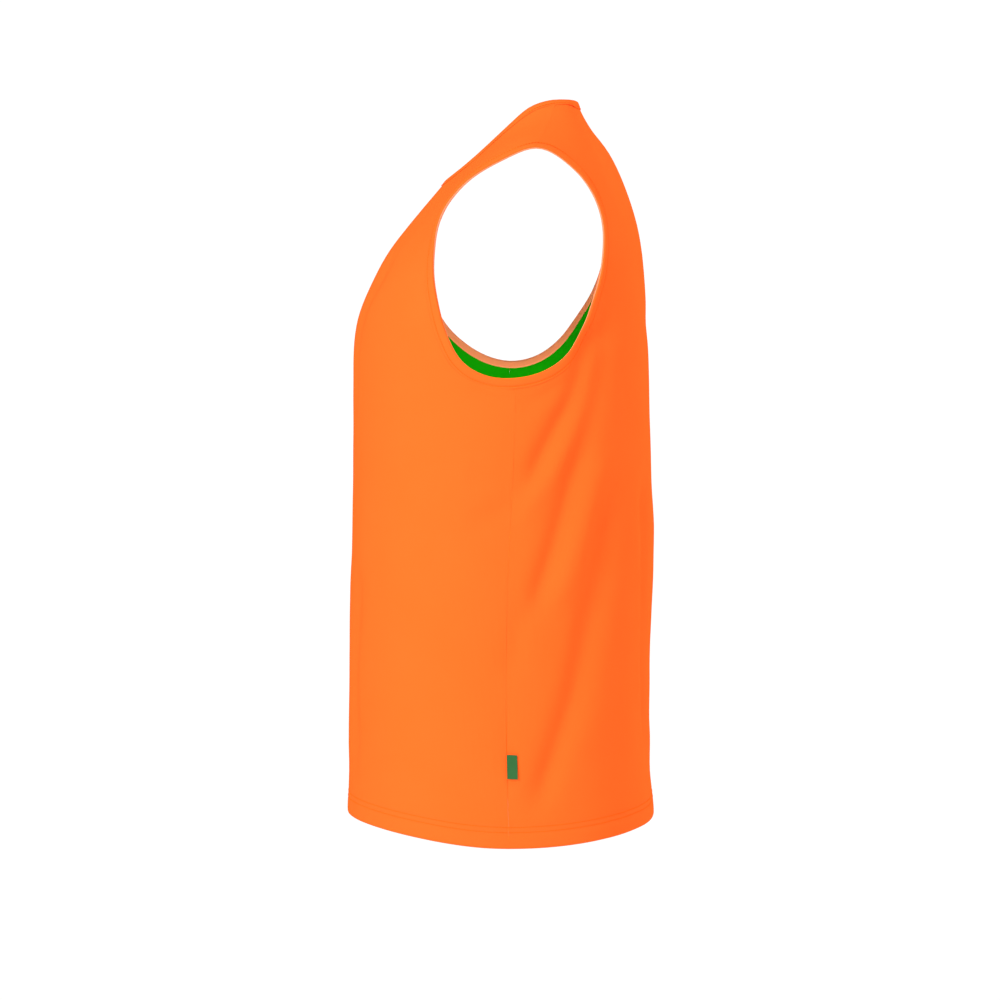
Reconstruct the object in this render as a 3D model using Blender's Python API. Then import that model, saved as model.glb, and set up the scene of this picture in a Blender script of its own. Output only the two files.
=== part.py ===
"""A sleeveless training bib: two layers of knit, filled out as if worn, hollow and open.

Metres, +Z up. The wearer faces -Y and the wearer's left is +X. The origin lies between the
shoulders, where the wearer carries the bib. Each panel is a grid of points: its rows run from
side seam to side seam and its columns from the hem to the neck, the shoulder or the armhole.
Every piece is made from those points, moved out or in by the layers that lie between.
"""

import math

import bmesh
import bpy
import numpy as np

# Cloth, in metres
CLOTH = 0.0010          # one layer of knit
GAP = 0.0003            # clearance between pieces that touch
STACK = 2 * CLOTH + GAP     # the outer and the inner layer together
HEM_TURN = 0.020        # depth of the turned hem
ARMHOLE_BAND = 0.0095   # width of the folded band round an armhole
NECK_BAND = 0.0080      # width of the folded band round the neck
SEAM_STRIP = 0.0110     # first strip of each panel beside a side seam

# The side label, caught in the left side seam
LABEL_WIDTH = 0.0100
LABEL_HEIGHT = 0.0235
LABEL_THICKNESS = 0.0010
LABEL_TOP = -0.6100
LABEL_LEAN = 0.0004     # how far the free end hangs lower than the sewn end
LABEL_LIFT = 2 * GAP    # clearance under it, for the bulge of the folds
LABEL_ROWS = 4
LABEL_COLUMNS = 3

# The hem, and the line where the body tube ends and the cut upper part begins
HEM = {"front": -0.6845, "back": -0.6880}   # at the centre of each panel
HEM_SEAM = -0.7008      # at the side seams, where the hem is lowest
HEM_REACH = {"front": 0.125, "back": 0.250}     # how far from the seams it stays mostly down
CHEST_LINE = -0.300     # at the centre front and centre back
ARMPIT = -0.246

# The body tube, from the hem up. Above the armpit the armholes cut into it.
BODY_COLUMNS = ("height", "half_width", "side", "squareness")
BODY = (
    (-0.700, 0.2150, -0.0440, 2.40),
    (-0.560, 0.2125, -0.0465, 2.40),
    (-0.440, 0.2100, -0.0450, 2.38),
    (-0.340, 0.2090, -0.0400, 2.32),
    (-0.246, 0.2080, -0.0375, 2.25),
    (-0.190, 0.2060, -0.0385, 2.22),
    (-0.130, 0.2020, -0.0390, 2.20),
    (-0.080, 0.1960, -0.0370, 2.20),
)

# Profiles of the centre front and the centre back, seen from the side
PROFILE_COLUMNS = ("height", "depth")
CENTRE_FRONT = (
    (-0.720, -0.2030),
    (-0.680, -0.2025),
    (-0.640, -0.2005),
    (-0.560, -0.2000),
    (-0.440, -0.1985),
    (-0.340, -0.1970),
    (-0.260, -0.1965),
    (-0.216, -0.1950),
    (-0.190, -0.1912),
    (-0.164, -0.1807),
    (-0.132, -0.1640),
    (-0.100, -0.1392),
    (-0.056, -0.1035),
)
CENTRE_BACK = (
    (-0.720, 0.1045),
    (-0.680, 0.1035),
    (-0.640, 0.0995),
    (-0.590, 0.0965),
    (-0.540, 0.0970),
    (-0.440, 0.1005),
    (-0.340, 0.1010),
    (-0.236, 0.0975),
    (-0.164, 0.0950),
    (-0.116, 0.0897),
    (-0.084, 0.0817),
    (-0.044, 0.0668),
    (-0.024, 0.0560),
    (-0.012, 0.0456),
    (0.004, 0.0324),
    (0.021, 0.0265),
)

# Edges as (x, y, z), all given on the wearer's left. The neck and the shoulders are the same on
# both sides. The right armhole is fuller at its lower back, and flatter at its lower front.
ARMHOLE_FRONT = {
    "left": (
        (0.2080, -0.0375, ARMPIT),
        (0.2060, -0.0650, -0.2445),
        (0.2010, -0.0890, -0.2320),
        (0.1930, -0.1045, -0.2050),
        (0.1830, -0.1135, -0.1750),
        (0.1700, -0.1190, -0.1340),
        (0.1685, -0.1115, -0.0885),
        (0.1725, -0.0875, -0.0565),
        (0.1805, -0.0500, -0.0330),
        (0.1860, -0.0170, -0.0205),
    ),
    "right": (
        (0.2080, -0.0375, ARMPIT),
        (0.2060, -0.0585, -0.2415),
        (0.2010, -0.0825, -0.2285),
        (0.1930, -0.1065, -0.2050),
        (0.1830, -0.1190, -0.1750),
        (0.1700, -0.1215, -0.1340),
        (0.1685, -0.1115, -0.0885),
        (0.1725, -0.0875, -0.0565),
        (0.1805, -0.0500, -0.0330),
        (0.1860, -0.0170, -0.0205),
    ),
}
ARMHOLE_BACK = {
    "left": (
        (0.2080, -0.0375, ARMPIT),
        (0.2050, -0.0110, -0.2400),
        (0.1960, 0.0130, -0.2245),
        (0.1840, 0.0295, -0.2000),
        (0.1740, 0.0405, -0.1710),
        (0.1665, 0.0495, -0.1350),
        (0.1640, 0.0500, -0.0960),
        (0.1680, 0.0388, -0.0640),
        (0.1760, 0.0205, -0.0422),
        (0.1860, -0.0170, -0.0205),
    ),
    "right": (
        (0.2080, -0.0375, ARMPIT),
        (0.2050, -0.0110, -0.2410),
        (0.1960, 0.0140, -0.2235),
        (0.1830, 0.0340, -0.1970),
        (0.1680, 0.0500, -0.1700),
        (0.1560, 0.0605, -0.1360),
        (0.1540, 0.0600, -0.0960),
        (0.1610, 0.0475, -0.0620),
        (0.1725, 0.0260, -0.0410),
        (0.1860, -0.0170, -0.0205),
    ),
}
NECK_FRONT = (
    (0.000, -0.103, -0.056),
    (0.030, -0.099, -0.053),
    (0.056, -0.084, -0.041),
    (0.074, -0.0605, -0.0205),
    (0.084, -0.0385, 0.0000),
    (0.088, -0.0170, 0.0180),
    (0.089, 0.003, 0.0235),
)
NECK_BACK = (
    (0.000, 0.0265, 0.021),
    (0.034, 0.0255, 0.0215),
    (0.065, 0.0208, 0.0228),
    (0.083, 0.0130, 0.0235),
    (0.089, 0.003, 0.0235),
)
SHOULDER = (
    (0.089, 0.003, 0.0235),
    (0.118, -0.002, 0.0065),
    (0.153, -0.010, -0.0080),
    (0.186, -0.017, -0.0205),
)

# The largest folds, as (side, depth, half_width, path). A path runs along the fold as seen
# square on to its side of the body: (y, z) on the left and right sides, (x, z) on the back.
FOLDS = (
    ("left", -0.0044, 0.020, ((0.043, -0.208), (0.024, -0.299), (-0.007, -0.408), (-0.032, -0.485))),
    ("left", 0.0026, 0.020, ((0.034, -0.230), (0.018, -0.292), (-0.004, -0.324), (-0.041, -0.383))),
    ("left", -0.0050, 0.021, ((0.052, -0.327), (0.040, -0.426), (0.012, -0.558), (-0.035, -0.673))),
    ("left", 0.0024, 0.020, ((0.043, -0.308), (0.034, -0.352), (0.009, -0.433), (-0.007, -0.470))),
    ("left", 0.0030, 0.024, ((0.074, -0.380), (0.060, -0.500), (0.038, -0.620))),
    ("right", -0.0042, 0.021, ((0.046, -0.170), (0.026, -0.300), (-0.006, -0.400), (-0.028, -0.470))),
    ("right", -0.0036, 0.020, ((-0.104, -0.245), (-0.084, -0.330), (-0.044, -0.410))),
    ("right", 0.0028, 0.022, ((0.070, -0.300), (0.052, -0.400), (0.022, -0.500))),
    ("right", -0.0046, 0.022, ((0.040, -0.400), (0.022, -0.520), (-0.018, -0.660))),
    ("back", -0.0042, 0.024, ((0.095, -0.330), (0.080, -0.470), (0.052, -0.640))),
    ("back", -0.0036, 0.022, ((-0.070, -0.300), (-0.088, -0.440), (-0.082, -0.600))),
    ("back", 0.0030, 0.026, ((0.024, -0.360), (0.010, -0.500), (0.004, -0.660))),
)
FOLD_FADE = 0.22        # share of a fold's length over which each end dies away
FOLD_TURN = 1.6         # how fast a fold fades where the cloth turns away from its view

# The grid of half a panel, from its centre out to the side seam. The neck takes a notch out
# of its inner upper corner: the strap is the block of columns beside that notch.
COLUMNS = 14
CROWDING = 0.22         # how much closer than the mean the columns are at the side
STRAP_COLUMN = 5        # the column that runs up to the notch's corner on the neck edge
BODY_ROWS = 10          # between the turned hem and the line just under the armpit
UPPER_ROWS = 13         # from the armpit to the shoulder
SECTION_ROWS = 6        # how many of these are sections of the body tube
STRAP_ROWS = {"front": 4, "back": 2}    # how many of these are beside the neck
NECK_CORNER = {"front": 0.46, "back": 0.74}     # where the corner is, as a share of the neck edge
COLLAR_ROWS = 1         # how many rows under the back of the neck stand up like a collar
COLLAR_HOLD = 2.0       # how firmly they do, against the cloth's bends
CORNER_FAN = 0.0046     # the strip's corner parts by this much each way along the neck
ARMPIT_DROP = 2.2       # the strip's column starts this many bands below the armpit
CHEST_STEP = 0.012      # from the chest line down to the row below it
STEEP_FIRST = 4.0       # how late a row turns up to the armhole: at the chest line
STEEP_LAST = 2.0        # and at the last section

CURVE_STEPS = 16        # points of a dense line for each point of its table
LINE_POINTS = 96        # points of a dense line that is worked out
NEAR = 0.002            # how far apart two points are that give an edge's direction
SAME = 1e-6             # points closer than this are one point

ORANGE = (1.0, 0.22, 0.045, 1.0)
GREEN = (0.0, 0.37, 0.003, 1.0)
LABEL_GREEN = (0.05, 0.21, 0.06, 1.0)
KNIT_ROUGHNESS = 0.75
LABEL_ROUGHNESS = 0.6


# ---- curves ---------------------------------------------------------------------------------


def unit(vectors):
    """The vectors at length one."""
    vectors = np.asarray(vectors, float)
    return vectors / np.linalg.norm(vectors, axis=-1, keepdims=True)


def smooth_line(points, before=None, after=None):
    """A dense smooth line through the points: a cubic from each to the next.

    `before` and `after` are the points that the line would have beyond its ends.
    """
    points = np.asarray(points, float)
    first = 2 * points[0] - points[1] if before is None else np.asarray(before, float)
    last = 2 * points[-1] - points[-2] if after is None else np.asarray(after, float)
    chain = np.vstack([first, points, last])
    spans = np.linalg.norm(np.diff(chain, axis=0), axis=1)
    rates = np.diff(chain, axis=0) / spans[:, None]
    ahead, behind = spans[1:, None], spans[:-1, None]
    slopes = (rates[:-1] * ahead + rates[1:] * behind) / (ahead + behind)
    dense = []
    for index in range(len(points) - 1):
        share = np.linspace(0.0, 1.0, CURVE_STEPS, endpoint=False)[:, None]
        span = spans[index + 1]
        dense.append(
            points[index] * (1 + 2 * share) * (1 - share) ** 2
            + slopes[index] * span * share * (1 - share) ** 2
            + points[index + 1] * share**2 * (3 - 2 * share)
            + slopes[index + 1] * span * share**2 * (share - 1)
        )
    dense.append(points[-1:])
    return np.vstack(dense)


def lengths_along(line):
    """The distance along a dense line at each of its points."""
    steps = np.linalg.norm(np.diff(line, axis=0), axis=1)
    return np.concatenate([[0.0], np.cumsum(steps)])


def points_along(line, distances):
    """The points of a dense line at the given distances from its start."""
    measured = lengths_along(line)
    return np.stack([np.interp(distances, measured, line[:, axis]) for axis in range(3)], axis=-1)


def even(count):
    """Shares from 0 to 1 in `count` equal steps."""
    return np.linspace(0.0, 1.0, count + 1)


def crowded(count):
    """Shares from 0 to 1 in `count` steps that shrink towards the end."""
    return even(count) * (1 + CROWDING) - CROWDING * even(count) ** 2


def spread(line, shares):
    """Points of a dense line at the given shares of its length."""
    return points_along(line, lengths_along(line)[-1] * shares)


def table_value(table, names, wanted, heights):
    """One column of a table, smoothly interpolated at the given heights."""
    rows = np.asarray(table, float)
    column = names.index(wanted)
    line = smooth_line(np.column_stack([rows[:, 0], rows[:, column], np.zeros(len(rows))]))
    return np.interp(heights, line[:, 0], line[:, 1])


# ---- the body tube --------------------------------------------------------------------------


def tube_line(edges, centre_height, side_height, dip):
    """A row of the body tube from the centre of a panel to the side seam.

    The row dips round the side like the hem, and near the seam it lifts to side_height.
    """
    profile = edges["profile"]
    turn = np.linspace(0.0, 1.0, LINE_POINTS)
    angle = turn * math.pi / 2
    side = table_value(BODY, BODY_COLUMNS, "side", centre_height)
    power = 2.0 / table_value(BODY, BODY_COLUMNS, "squareness", centre_height)
    depth = table_value(profile, PROFILE_COLUMNS, "depth", centre_height)
    from_seam = (depth - side) * np.abs(np.cos(angle)) ** power
    down = np.exp(-((from_seam / edges["reach"]) ** 2))
    down = (down - down[0]) / (down[-1] - down[0])
    lift = side_height - centre_height + dip
    heights = centre_height - dip * down + lift * turn**4
    half_width = table_value(BODY, BODY_COLUMNS, "half_width", heights)
    side = table_value(BODY, BODY_COLUMNS, "side", heights)
    power = 2.0 / table_value(BODY, BODY_COLUMNS, "squareness", heights)
    depth = table_value(profile, PROFILE_COLUMNS, "depth", heights)
    x = half_width * np.sin(angle) ** power
    y = side + (depth - side) * np.abs(np.cos(angle)) ** power
    y[-1] = side[-1]
    return np.column_stack([x, y, heights])


def tube_point(profile, from_seam, height):
    """The point of the tube that is from_seam in front of or behind the side seam."""
    half_width = table_value(BODY, BODY_COLUMNS, "half_width", height)
    side = table_value(BODY, BODY_COLUMNS, "side", height)
    squareness = table_value(BODY, BODY_COLUMNS, "squareness", height)
    depth = table_value(profile, PROFILE_COLUMNS, "depth", height) - side
    x = half_width * (1 - (from_seam / abs(depth)) ** squareness) ** (1 / squareness)
    return np.array([x, side + math.copysign(from_seam, depth), height])


def cut_line(profile, centre_height, edge, steepness):
    """A row of the tube that ends at the armhole: its share of the section, up to the edge."""
    share = np.linspace(0.0, 1.0, LINE_POINTS)
    heights = centre_height + (edge[2] - centre_height) * share**steepness
    half_width = table_value(BODY, BODY_COLUMNS, "half_width", heights)
    side = table_value(BODY, BODY_COLUMNS, "side", heights)
    power = 2.0 / table_value(BODY, BODY_COLUMNS, "squareness", heights)
    depth = table_value(profile, PROFILE_COLUMNS, "depth", heights)
    reach = (edge[1] - side[-1]) / (depth[-1] - side[-1])
    angle = share * math.acos(max(reach, 0.0) ** (1 / power[-1]))
    x = half_width * np.sin(angle) ** power
    y = side + (depth - side) * np.cos(angle) ** power
    line = np.column_stack([x, y, heights])
    return line + share[:, None] ** 3 * (edge - line[-1])


def centre_line(profile, bottom, top):
    """The dense centre line of a panel between two heights."""
    rows = np.asarray(profile, float)
    line = smooth_line(np.column_stack([np.zeros(len(rows)), rows[:, 1], rows[:, 0]]))
    heights = np.linspace(bottom, top, LINE_POINTS)
    depths = np.interp(heights, line[:, 2], line[:, 1])
    return np.column_stack([np.zeros(LINE_POINTS), depths, heights])


# ---- the cut upper part ---------------------------------------------------------------------


def mirrored(point):
    """The point on the wearer's other side."""
    return np.asarray(point, float) * (-1.0, 1.0, 1.0)


def edge_lines(hand):
    """The dense cut edges of both panels on one side: armhole, neck and shoulder."""
    front, back = ARMHOLE_FRONT[hand], ARMHOLE_BACK[hand]
    shoulder = smooth_line(SHOULDER)
    return {
        "front": {
            "profile": CENTRE_FRONT,
            "hem": HEM["front"],
            "reach": HEM_REACH["front"],
            "corner": NECK_CORNER["front"],
            "armhole": smooth_line(front, before=back[1], after=back[-2]),
            "neck": smooth_line(NECK_FRONT, before=mirrored(NECK_FRONT[1]), after=NECK_BACK[-2]),
            "shoulder": shoulder,
        },
        "back": {
            "profile": CENTRE_BACK,
            "hem": HEM["back"],
            "reach": HEM_REACH["back"],
            "corner": NECK_CORNER["back"],
            "armhole": smooth_line(back, before=front[1], after=front[-2]),
            "neck": smooth_line(NECK_BACK, before=mirrored(NECK_BACK[1]), after=NECK_FRONT[-2]),
            "shoulder": shoulder,
        },
    }


def upper_start(edges, strap_rows):
    """The upper part of half a panel before it is eased: its edges and its fixed rows.

    Row 0 is one step down the tube and row 1 is the chest line. The next SECTION_ROWS rows are
    the tube's own sections, cut off by the armhole. The last row is the shoulder seam. Where
    nothing is fixed yet, or in the notch of the neck, the grid holds no number.
    """
    grid = np.full((UPPER_ROWS + 2, COLUMNS + 1, 3), np.nan)
    corner_row = UPPER_ROWS + 1 - strap_rows
    low_neck, side_neck = neck_parts(edges)
    rise = centre_line(edges["profile"], CHEST_LINE, low_neck[0][2])
    centre = spread(rise, even(corner_row - 1))
    armhole = spread(edges["armhole"], even(UPPER_ROWS))
    step = np.linalg.norm(centre[1] - centre[0])
    for row, drop in ((0, step), (1, 0.0)):
        line = tube_line(edges, CHEST_LINE - drop, ARMPIT - drop, 0.0)
        grid[row] = spread(line, crowded(COLUMNS))
    grid[1:corner_row + 1, 0] = centre
    grid[1:, COLUMNS] = armhole
    for row in range(1, SECTION_ROWS + 1):
        steepness = STEEP_FIRST + (STEEP_LAST - STEEP_FIRST) * row / SECTION_ROWS
        line = cut_line(edges["profile"], centre[row][2], armhole[row], steepness)
        grid[row + 1] = spread(line, crowded(COLUMNS))
    grid[corner_row, :STRAP_COLUMN + 1] = spread(low_neck, even(STRAP_COLUMN))
    grid[corner_row:, STRAP_COLUMN] = spread(side_neck, even(strap_rows))
    grid[-1, STRAP_COLUMN:] = spread(edges["shoulder"], even(COLUMNS - STRAP_COLUMN))
    return grid


def neck_parts(edges):
    """The dense neck edge in two parts: below the notch's corner, and beside the strap."""
    line = edges["neck"]
    measured = lengths_along(line)
    index = int(round(np.interp(edges["corner"] * measured[-1], measured, np.arange(len(line)))))
    return line[:index + 1], line[index:]


def free_places(grids):
    """A number for each inside point that is still to be found."""
    number = {}
    for side, grid in grids.items():
        corner_row = UPPER_ROWS + 1 - STRAP_ROWS[side]
        for row in range(SECTION_ROWS + 2, UPPER_ROWS + 1):
            first = 1 if row < corner_row else STRAP_COLUMN + 1
            for column in range(first, COLUMNS):
                number[side, row, column] = len(number)
    return number


def bends(grids, number):
    """The bends that the cloth resists: lists of weights on grid places.

    Each is a change of direction along a row or a column, or a twist of one cell. Some go over
    the shoulder seam, and others keep the collar of the back as upright all along as it is at
    the centre. The last ones, returned apart, keep the centre line square.
    """
    inside, centre = [], []
    twist = math.sqrt(2)
    for side, grid in grids.items():
        known = ~np.isnan(grid[..., 0])

        def there(row, column, side=side, known=known):
            return known[row, column] or (side, row, column) in number

        for row in range(SECTION_ROWS + 1, UPPER_ROWS + 1):
            for column in range(COLUMNS):
                here = (side, row, column)
                cell = [(row, column), (row + 1, column), (row, column + 1), (row + 1, column + 1)]
                if all(there(*place) for place in cell):
                    weights = (twist, -twist, -twist, twist)
                    inside.append([(w, (side, *place)) for w, place in zip(weights, cell)])
                if here not in number and row > SECTION_ROWS + 1:
                    continue
                if column > 0 and there(row, column - 1):
                    inside.append([(1, (side, row, column - 1)), (-2, here),
                                   (1, (side, row, column + 1))])
                if column > 0 and there(row + 1, column):
                    inside.append([(1, (side, row - 1, column)), (-2, here),
                                   (1, (side, row + 1, column))])
            if (side, row, 1) in number:
                centre.append([(2, (side, row, 1)), (-2, (side, row, 0))])
    top = UPPER_ROWS + 1
    for column in range(STRAP_COLUMN + 1, COLUMNS):
        inside.append([(1, ("front", top - 1, column)), (-2, ("front", top, column)),
                       (1, ("back", top - 1, column))])
    neck = top - STRAP_ROWS["back"]
    for row in range(neck - COLLAR_ROWS, neck):
        for column in range(1, STRAP_COLUMN + 1):
            inside.append([(COLLAR_HOLD, ("back", row, column)), (-COLLAR_HOLD, ("back", row, 0)),
                           (-COLLAR_HOLD, ("back", neck, column)), (COLLAR_HOLD, ("back", neck, 0))])
    return inside, centre


def eased_upper(lines):
    """Both upper parts with their insides eased into one smooth shell over the shoulder.

    The cloth between the cut edges takes the shape of a thin plate that bends least. It goes
    on smoothly from the body tube, from one half to the other, and over the shoulder seam.
    """
    grids = {side: upper_start(edges, STRAP_ROWS[side]) for side, edges in lines.items()}
    number = free_places(grids)
    inside, centre = bends(grids, number)
    for axis in range(3):
        used = inside if axis == 0 else inside + centre
        matrix = np.zeros((len(used), len(number)))
        wanted = np.zeros(len(used))
        for line, terms in enumerate(used):
            for weight, (side, row, column) in terms:
                if (side, row, column) in number:
                    matrix[line, number[side, row, column]] += weight
                else:
                    wanted[line] -= weight * grids[side][row, column, axis]
        solved = np.linalg.lstsq(matrix, wanted, rcond=None)[0]
        for (side, row, column), unknown in number.items():
            grids[side][row, column, axis] = solved[unknown]
    return grids


# ---- the grid of a panel --------------------------------------------------------------------


def body_rows(edges):
    """The rows of half a panel from the hem up to the armpit."""
    hem = edges["hem"]
    centre = [hem, hem + HEM_TURN]
    side = [HEM_SEAM, HEM_SEAM + HEM_TURN]
    last_centre, last_side = CHEST_LINE - CHEST_STEP, ARMPIT - ARMHOLE_BAND
    for step in range(1, BODY_ROWS + 1):
        share = step / BODY_ROWS
        centre.append(centre[1] + (last_centre - centre[1]) * share)
        side.append(side[1] + (last_side - side[1]) * share)
    centre.append(CHEST_LINE)
    side.append(ARMPIT)
    rows = []
    for index, (centre_height, side_height) in enumerate(zip(centre, side)):
        dip = (hem - HEM_SEAM) * (1 - index / (len(centre) - 1))
        line = tube_line(edges, centre_height, side_height, dip)
        total = lengths_along(line)[-1]
        places = crowded(COLUMNS - 1) * (total - SEAM_STRIP)
        rows.append(points_along(line, np.append(places, total)))
    armpit, below = len(rows) - 1, len(rows) - 2
    for row, bands in ((armpit, 1.0), (below, ARMPIT_DROP)):
        height = ARMPIT - bands * ARMHOLE_BAND
        rows[row][COLUMNS - 1] = tube_point(edges["profile"], ARMHOLE_BAND, height)
    return rows


def set_back(line, edge, tangent, width):
    """The point of a dense line, starting at an edge point, that is width in from that edge."""
    away = line - edge
    square = away - (away @ tangent)[:, None] * tangent
    depth = np.linalg.norm(square, axis=1)
    index = int(np.argmax(depth >= width))
    share = (width - depth[index - 1]) / (depth[index] - depth[index - 1])
    return edge + square[index - 1] + share * (square[index] - square[index - 1])


def stretched(row, armhole_tangent, neck_tangent=None):
    """A row of the eased grid with its points moved along it, to put strips at its ends.

    The point before the last comes to lie ARMHOLE_BAND in from the armhole. With a neck
    tangent, the second point comes to lie NECK_BAND in from the neck.
    """
    on_centre = neck_tangent is None
    line = smooth_line(row, before=mirrored(row[1]) if on_centre else None)
    places = lengths_along(line)[::CURVE_STEPS]
    outer = set_back(line[::-1], row[-1], armhole_tangent, ARMHOLE_BAND)
    reach = nearest_length(line, outer)
    if on_centre:
        moved = points_along(line, places[:-1] * reach / places[-2])
    else:
        inner = set_back(line, row[0], neck_tangent, NECK_BAND)
        start = nearest_length(line, inner)
        shares = (places[1:-1] - places[1]) / (places[-2] - places[1])
        moved = np.vstack([row[0], points_along(line, start + shares * (reach - start))])
        moved[1] = inner
    moved[-1] = outer
    return np.vstack([moved, row[-1]])


def nearest_length(line, point):
    """The distance along a dense line to its point nearest to the given one."""
    return lengths_along(line)[int(np.argmin(np.linalg.norm(line - point, axis=1)))]


def halfway(rows):
    """The points halfway between the middle two of four rows, on a cubic through all four."""
    return (9 * (rows[1] + rows[2]) - (rows[0] + rows[3])) / 16


def upper_rows(edges, eased, strap_rows):
    """The rows above the armpit, and the index among them of the row at the notch's corner."""
    corner_row = UPPER_ROWS + 1 - strap_rows
    low_neck, side_neck = neck_parts(edges)
    corner = low_neck[-1]
    along_neck = unit(side_neck[1] - low_neck[-2])
    inward = eased[corner_row - 1, STRAP_COLUMN + 1] - corner
    inward = unit(inward - (inward @ along_neck) * along_neck)

    rows = []
    for row in range(2, corner_row):
        tangent = edge_at(edges["armhole"], (row - 1) / UPPER_ROWS)[1]
        rows.append(stretched(eased[row], tangent))

    strip = []
    for column in range(STRAP_COLUMN):
        here, tangent = edge_at(low_neck, column / STRAP_COLUMN)
        down = smooth_line(eased[corner_row:corner_row - 4:-1, column])
        strip.append(set_back(down, here, tangent, NECK_BAND))
    strip.append(corner + inward * NECK_BAND - along_neck * CORNER_FAN)
    around = [eased[row, STRAP_COLUMN:] for row in range(corner_row - 2, corner_row + 2)]
    middle = halfway(around)
    middle[-1], tangent = edge_at(edges["armhole"], (corner_row - 1.5) / UPPER_ROWS)
    under = stretched(middle, tangent, along_neck)[1:]
    under[0] = middle[1]
    rows.append(np.vstack([strip, under]))

    for row in range(corner_row, UPPER_ROWS + 2):
        armhole_tangent = edge_at(edges["armhole"], (row - 1) / UPPER_ROWS)[1]
        neck_tangent = edge_at(side_neck, (row - corner_row) / strap_rows)[1]
        strap = stretched(eased[row, STRAP_COLUMN:], armhole_tangent, neck_tangent)
        beside = np.full((STRAP_COLUMN, 3), np.nan)
        if row == corner_row:
            strap[1] = corner + inward * NECK_BAND + along_neck * CORNER_FAN
            beside = eased[row, :STRAP_COLUMN]
        rows.append(np.vstack([beside, strap]))
    return rows, corner_row - 1


def edge_at(line, share):
    """The point of a dense line at a share of its length, and the direction there."""
    place = lengths_along(line)[-1] * share
    before, here, after = points_along(line, [place - NEAR, place, place + NEAR])
    return here, unit(after - before)


def half_grid(edges, eased, strap_rows):
    """All points of half a panel, with the index of its armpit row and its corner row."""
    low = body_rows(edges)
    high, corner = upper_rows(edges, eased, strap_rows)
    return np.array(low + high), len(low) - 1, len(low) + corner


def grid_cells(points):
    """The cells of a full grid that are cloth, as their four corner numbers."""
    rows, columns = points.shape[:2]
    known = ~np.isnan(points[..., 0])
    for row in range(rows - 1):
        for column in range(columns - 1):
            if known[row:row + 2, column:column + 2].all():
                a = row * columns + column
                yield a, a + 1, a + 1 + columns, a + columns


def smoothed_normals(points):
    """Outward normals of a full grid, each the mean of the triangles round it."""
    flat = points.reshape(-1, 3)
    total = np.zeros_like(flat)
    for cell in grid_cells(points):
        for face in split(*cell, flat):
            a, b, c = (flat[index] for index in face)
            total[list(face)] += np.cross(b - a, c - a)
    length = np.linalg.norm(total, axis=1, keepdims=True)
    return (total / np.where(length > 0, length, 1.0)).reshape(points.shape)


def fold_lift(points, normals):
    """How far the folds move each point out of the smooth shape."""
    lift = np.zeros(points.shape[:2])
    views = {
        "left": (1, normals[..., 0]),
        "right": (1, -normals[..., 0]),
        "back": (0, normals[..., 1]),
    }
    for side, depth, half_width, path in FOLDS:
        axis, facing = views[side]
        flat = np.stack([points[..., axis], points[..., 2]], axis=-1)
        line = smooth_line([(a, b, 0.0) for a, b in path])[:, :2]
        away = np.linalg.norm(flat[:, :, None, :] - line[None, None], axis=-1)
        share = np.argmin(away, axis=-1) / (len(line) - 1)
        ends = np.clip(np.minimum(share, 1 - share) / FOLD_FADE, 0.0, 1.0)
        ends = ends * ends * (3 - 2 * ends)
        turned = np.clip(FOLD_TURN * facing, 0.0, 1.0)
        lift += depth * np.exp(-((away.min(axis=-1) / half_width) ** 2)) * ends * turned
    return lift


def panels():
    """The outer surface of both panels as full grids, their normals and their marked rows."""
    halves, made, corner = {}, {}, {}
    for hand in ("left", "right"):
        lines = edge_lines(hand)
        eased = eased_upper(lines)
        for name, edges in lines.items():
            half, armpit_row, corner[name] = half_grid(edges, eased[name], STRAP_ROWS[name])
            halves[name, hand] = half
    for name in corner:
        other = mirrored(halves[name, "right"][:, :0:-1])
        full = np.concatenate([other, halves[name, "left"]], axis=1)
        made[name] = full[:, ::-1] if name == "back" else full
    normals = {name: smoothed_normals(points) for name, points in made.items()}
    share_seams(normals, armpit_row, unit)
    for name in made:
        lift = fold_lift(made[name], normals[name])
        made[name] = made[name] + normals[name] * lift[..., None]
    share_seams(made, armpit_row, lambda doubled: doubled / 2)
    normals = {name: smoothed_normals(points) for name, points in made.items()}
    share_seams(normals, armpit_row, unit)
    return made, normals, armpit_row, corner


def seam_pairs(armpit_row, rows):
    """Grid places of the front and the back that lie on the same seam."""
    last = 2 * COLUMNS
    for row in range(armpit_row + 1):
        yield (row, 0), (row, last)
        yield (row, last), (row, 0)
    strap = COLUMNS - STRAP_COLUMN
    for column in list(range(strap + 1)) + list(range(last - strap, last + 1)):
        yield (rows - 1, column), (rows - 1, last - column)


def share_seams(values, armpit_row, merge):
    """Give both panels the same values along their seams: their sum, merged."""
    for front, back in seam_pairs(armpit_row, len(values["front"])):
        both = merge(values["front"][front] + values["back"][back])
        values["front"][front] = both
        values["back"][back] = both


# ---- solids ---------------------------------------------------------------------------------


def split(a, b, c, d, points):
    """Two triangles for the quad a, b, c, d, parted by its shorter diagonal."""
    one = np.linalg.norm(points[a] - points[c])
    other = np.linalg.norm(points[b] - points[d])
    if one <= other:
        return [(a, b, c), (a, c, d)]
    return [(a, b, d), (b, c, d)]


def material(name, colour, roughness):
    """A plain cloth material."""
    made = bpy.data.materials.new(name)
    made.use_nodes = True
    shader = made.node_tree.nodes["Principled BSDF"]
    shader.inputs["Base Color"].default_value = colour
    shader.inputs["Roughness"].default_value = roughness
    shader.inputs["Metallic"].default_value = 0.0
    made.diffuse_color = colour
    return made


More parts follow.
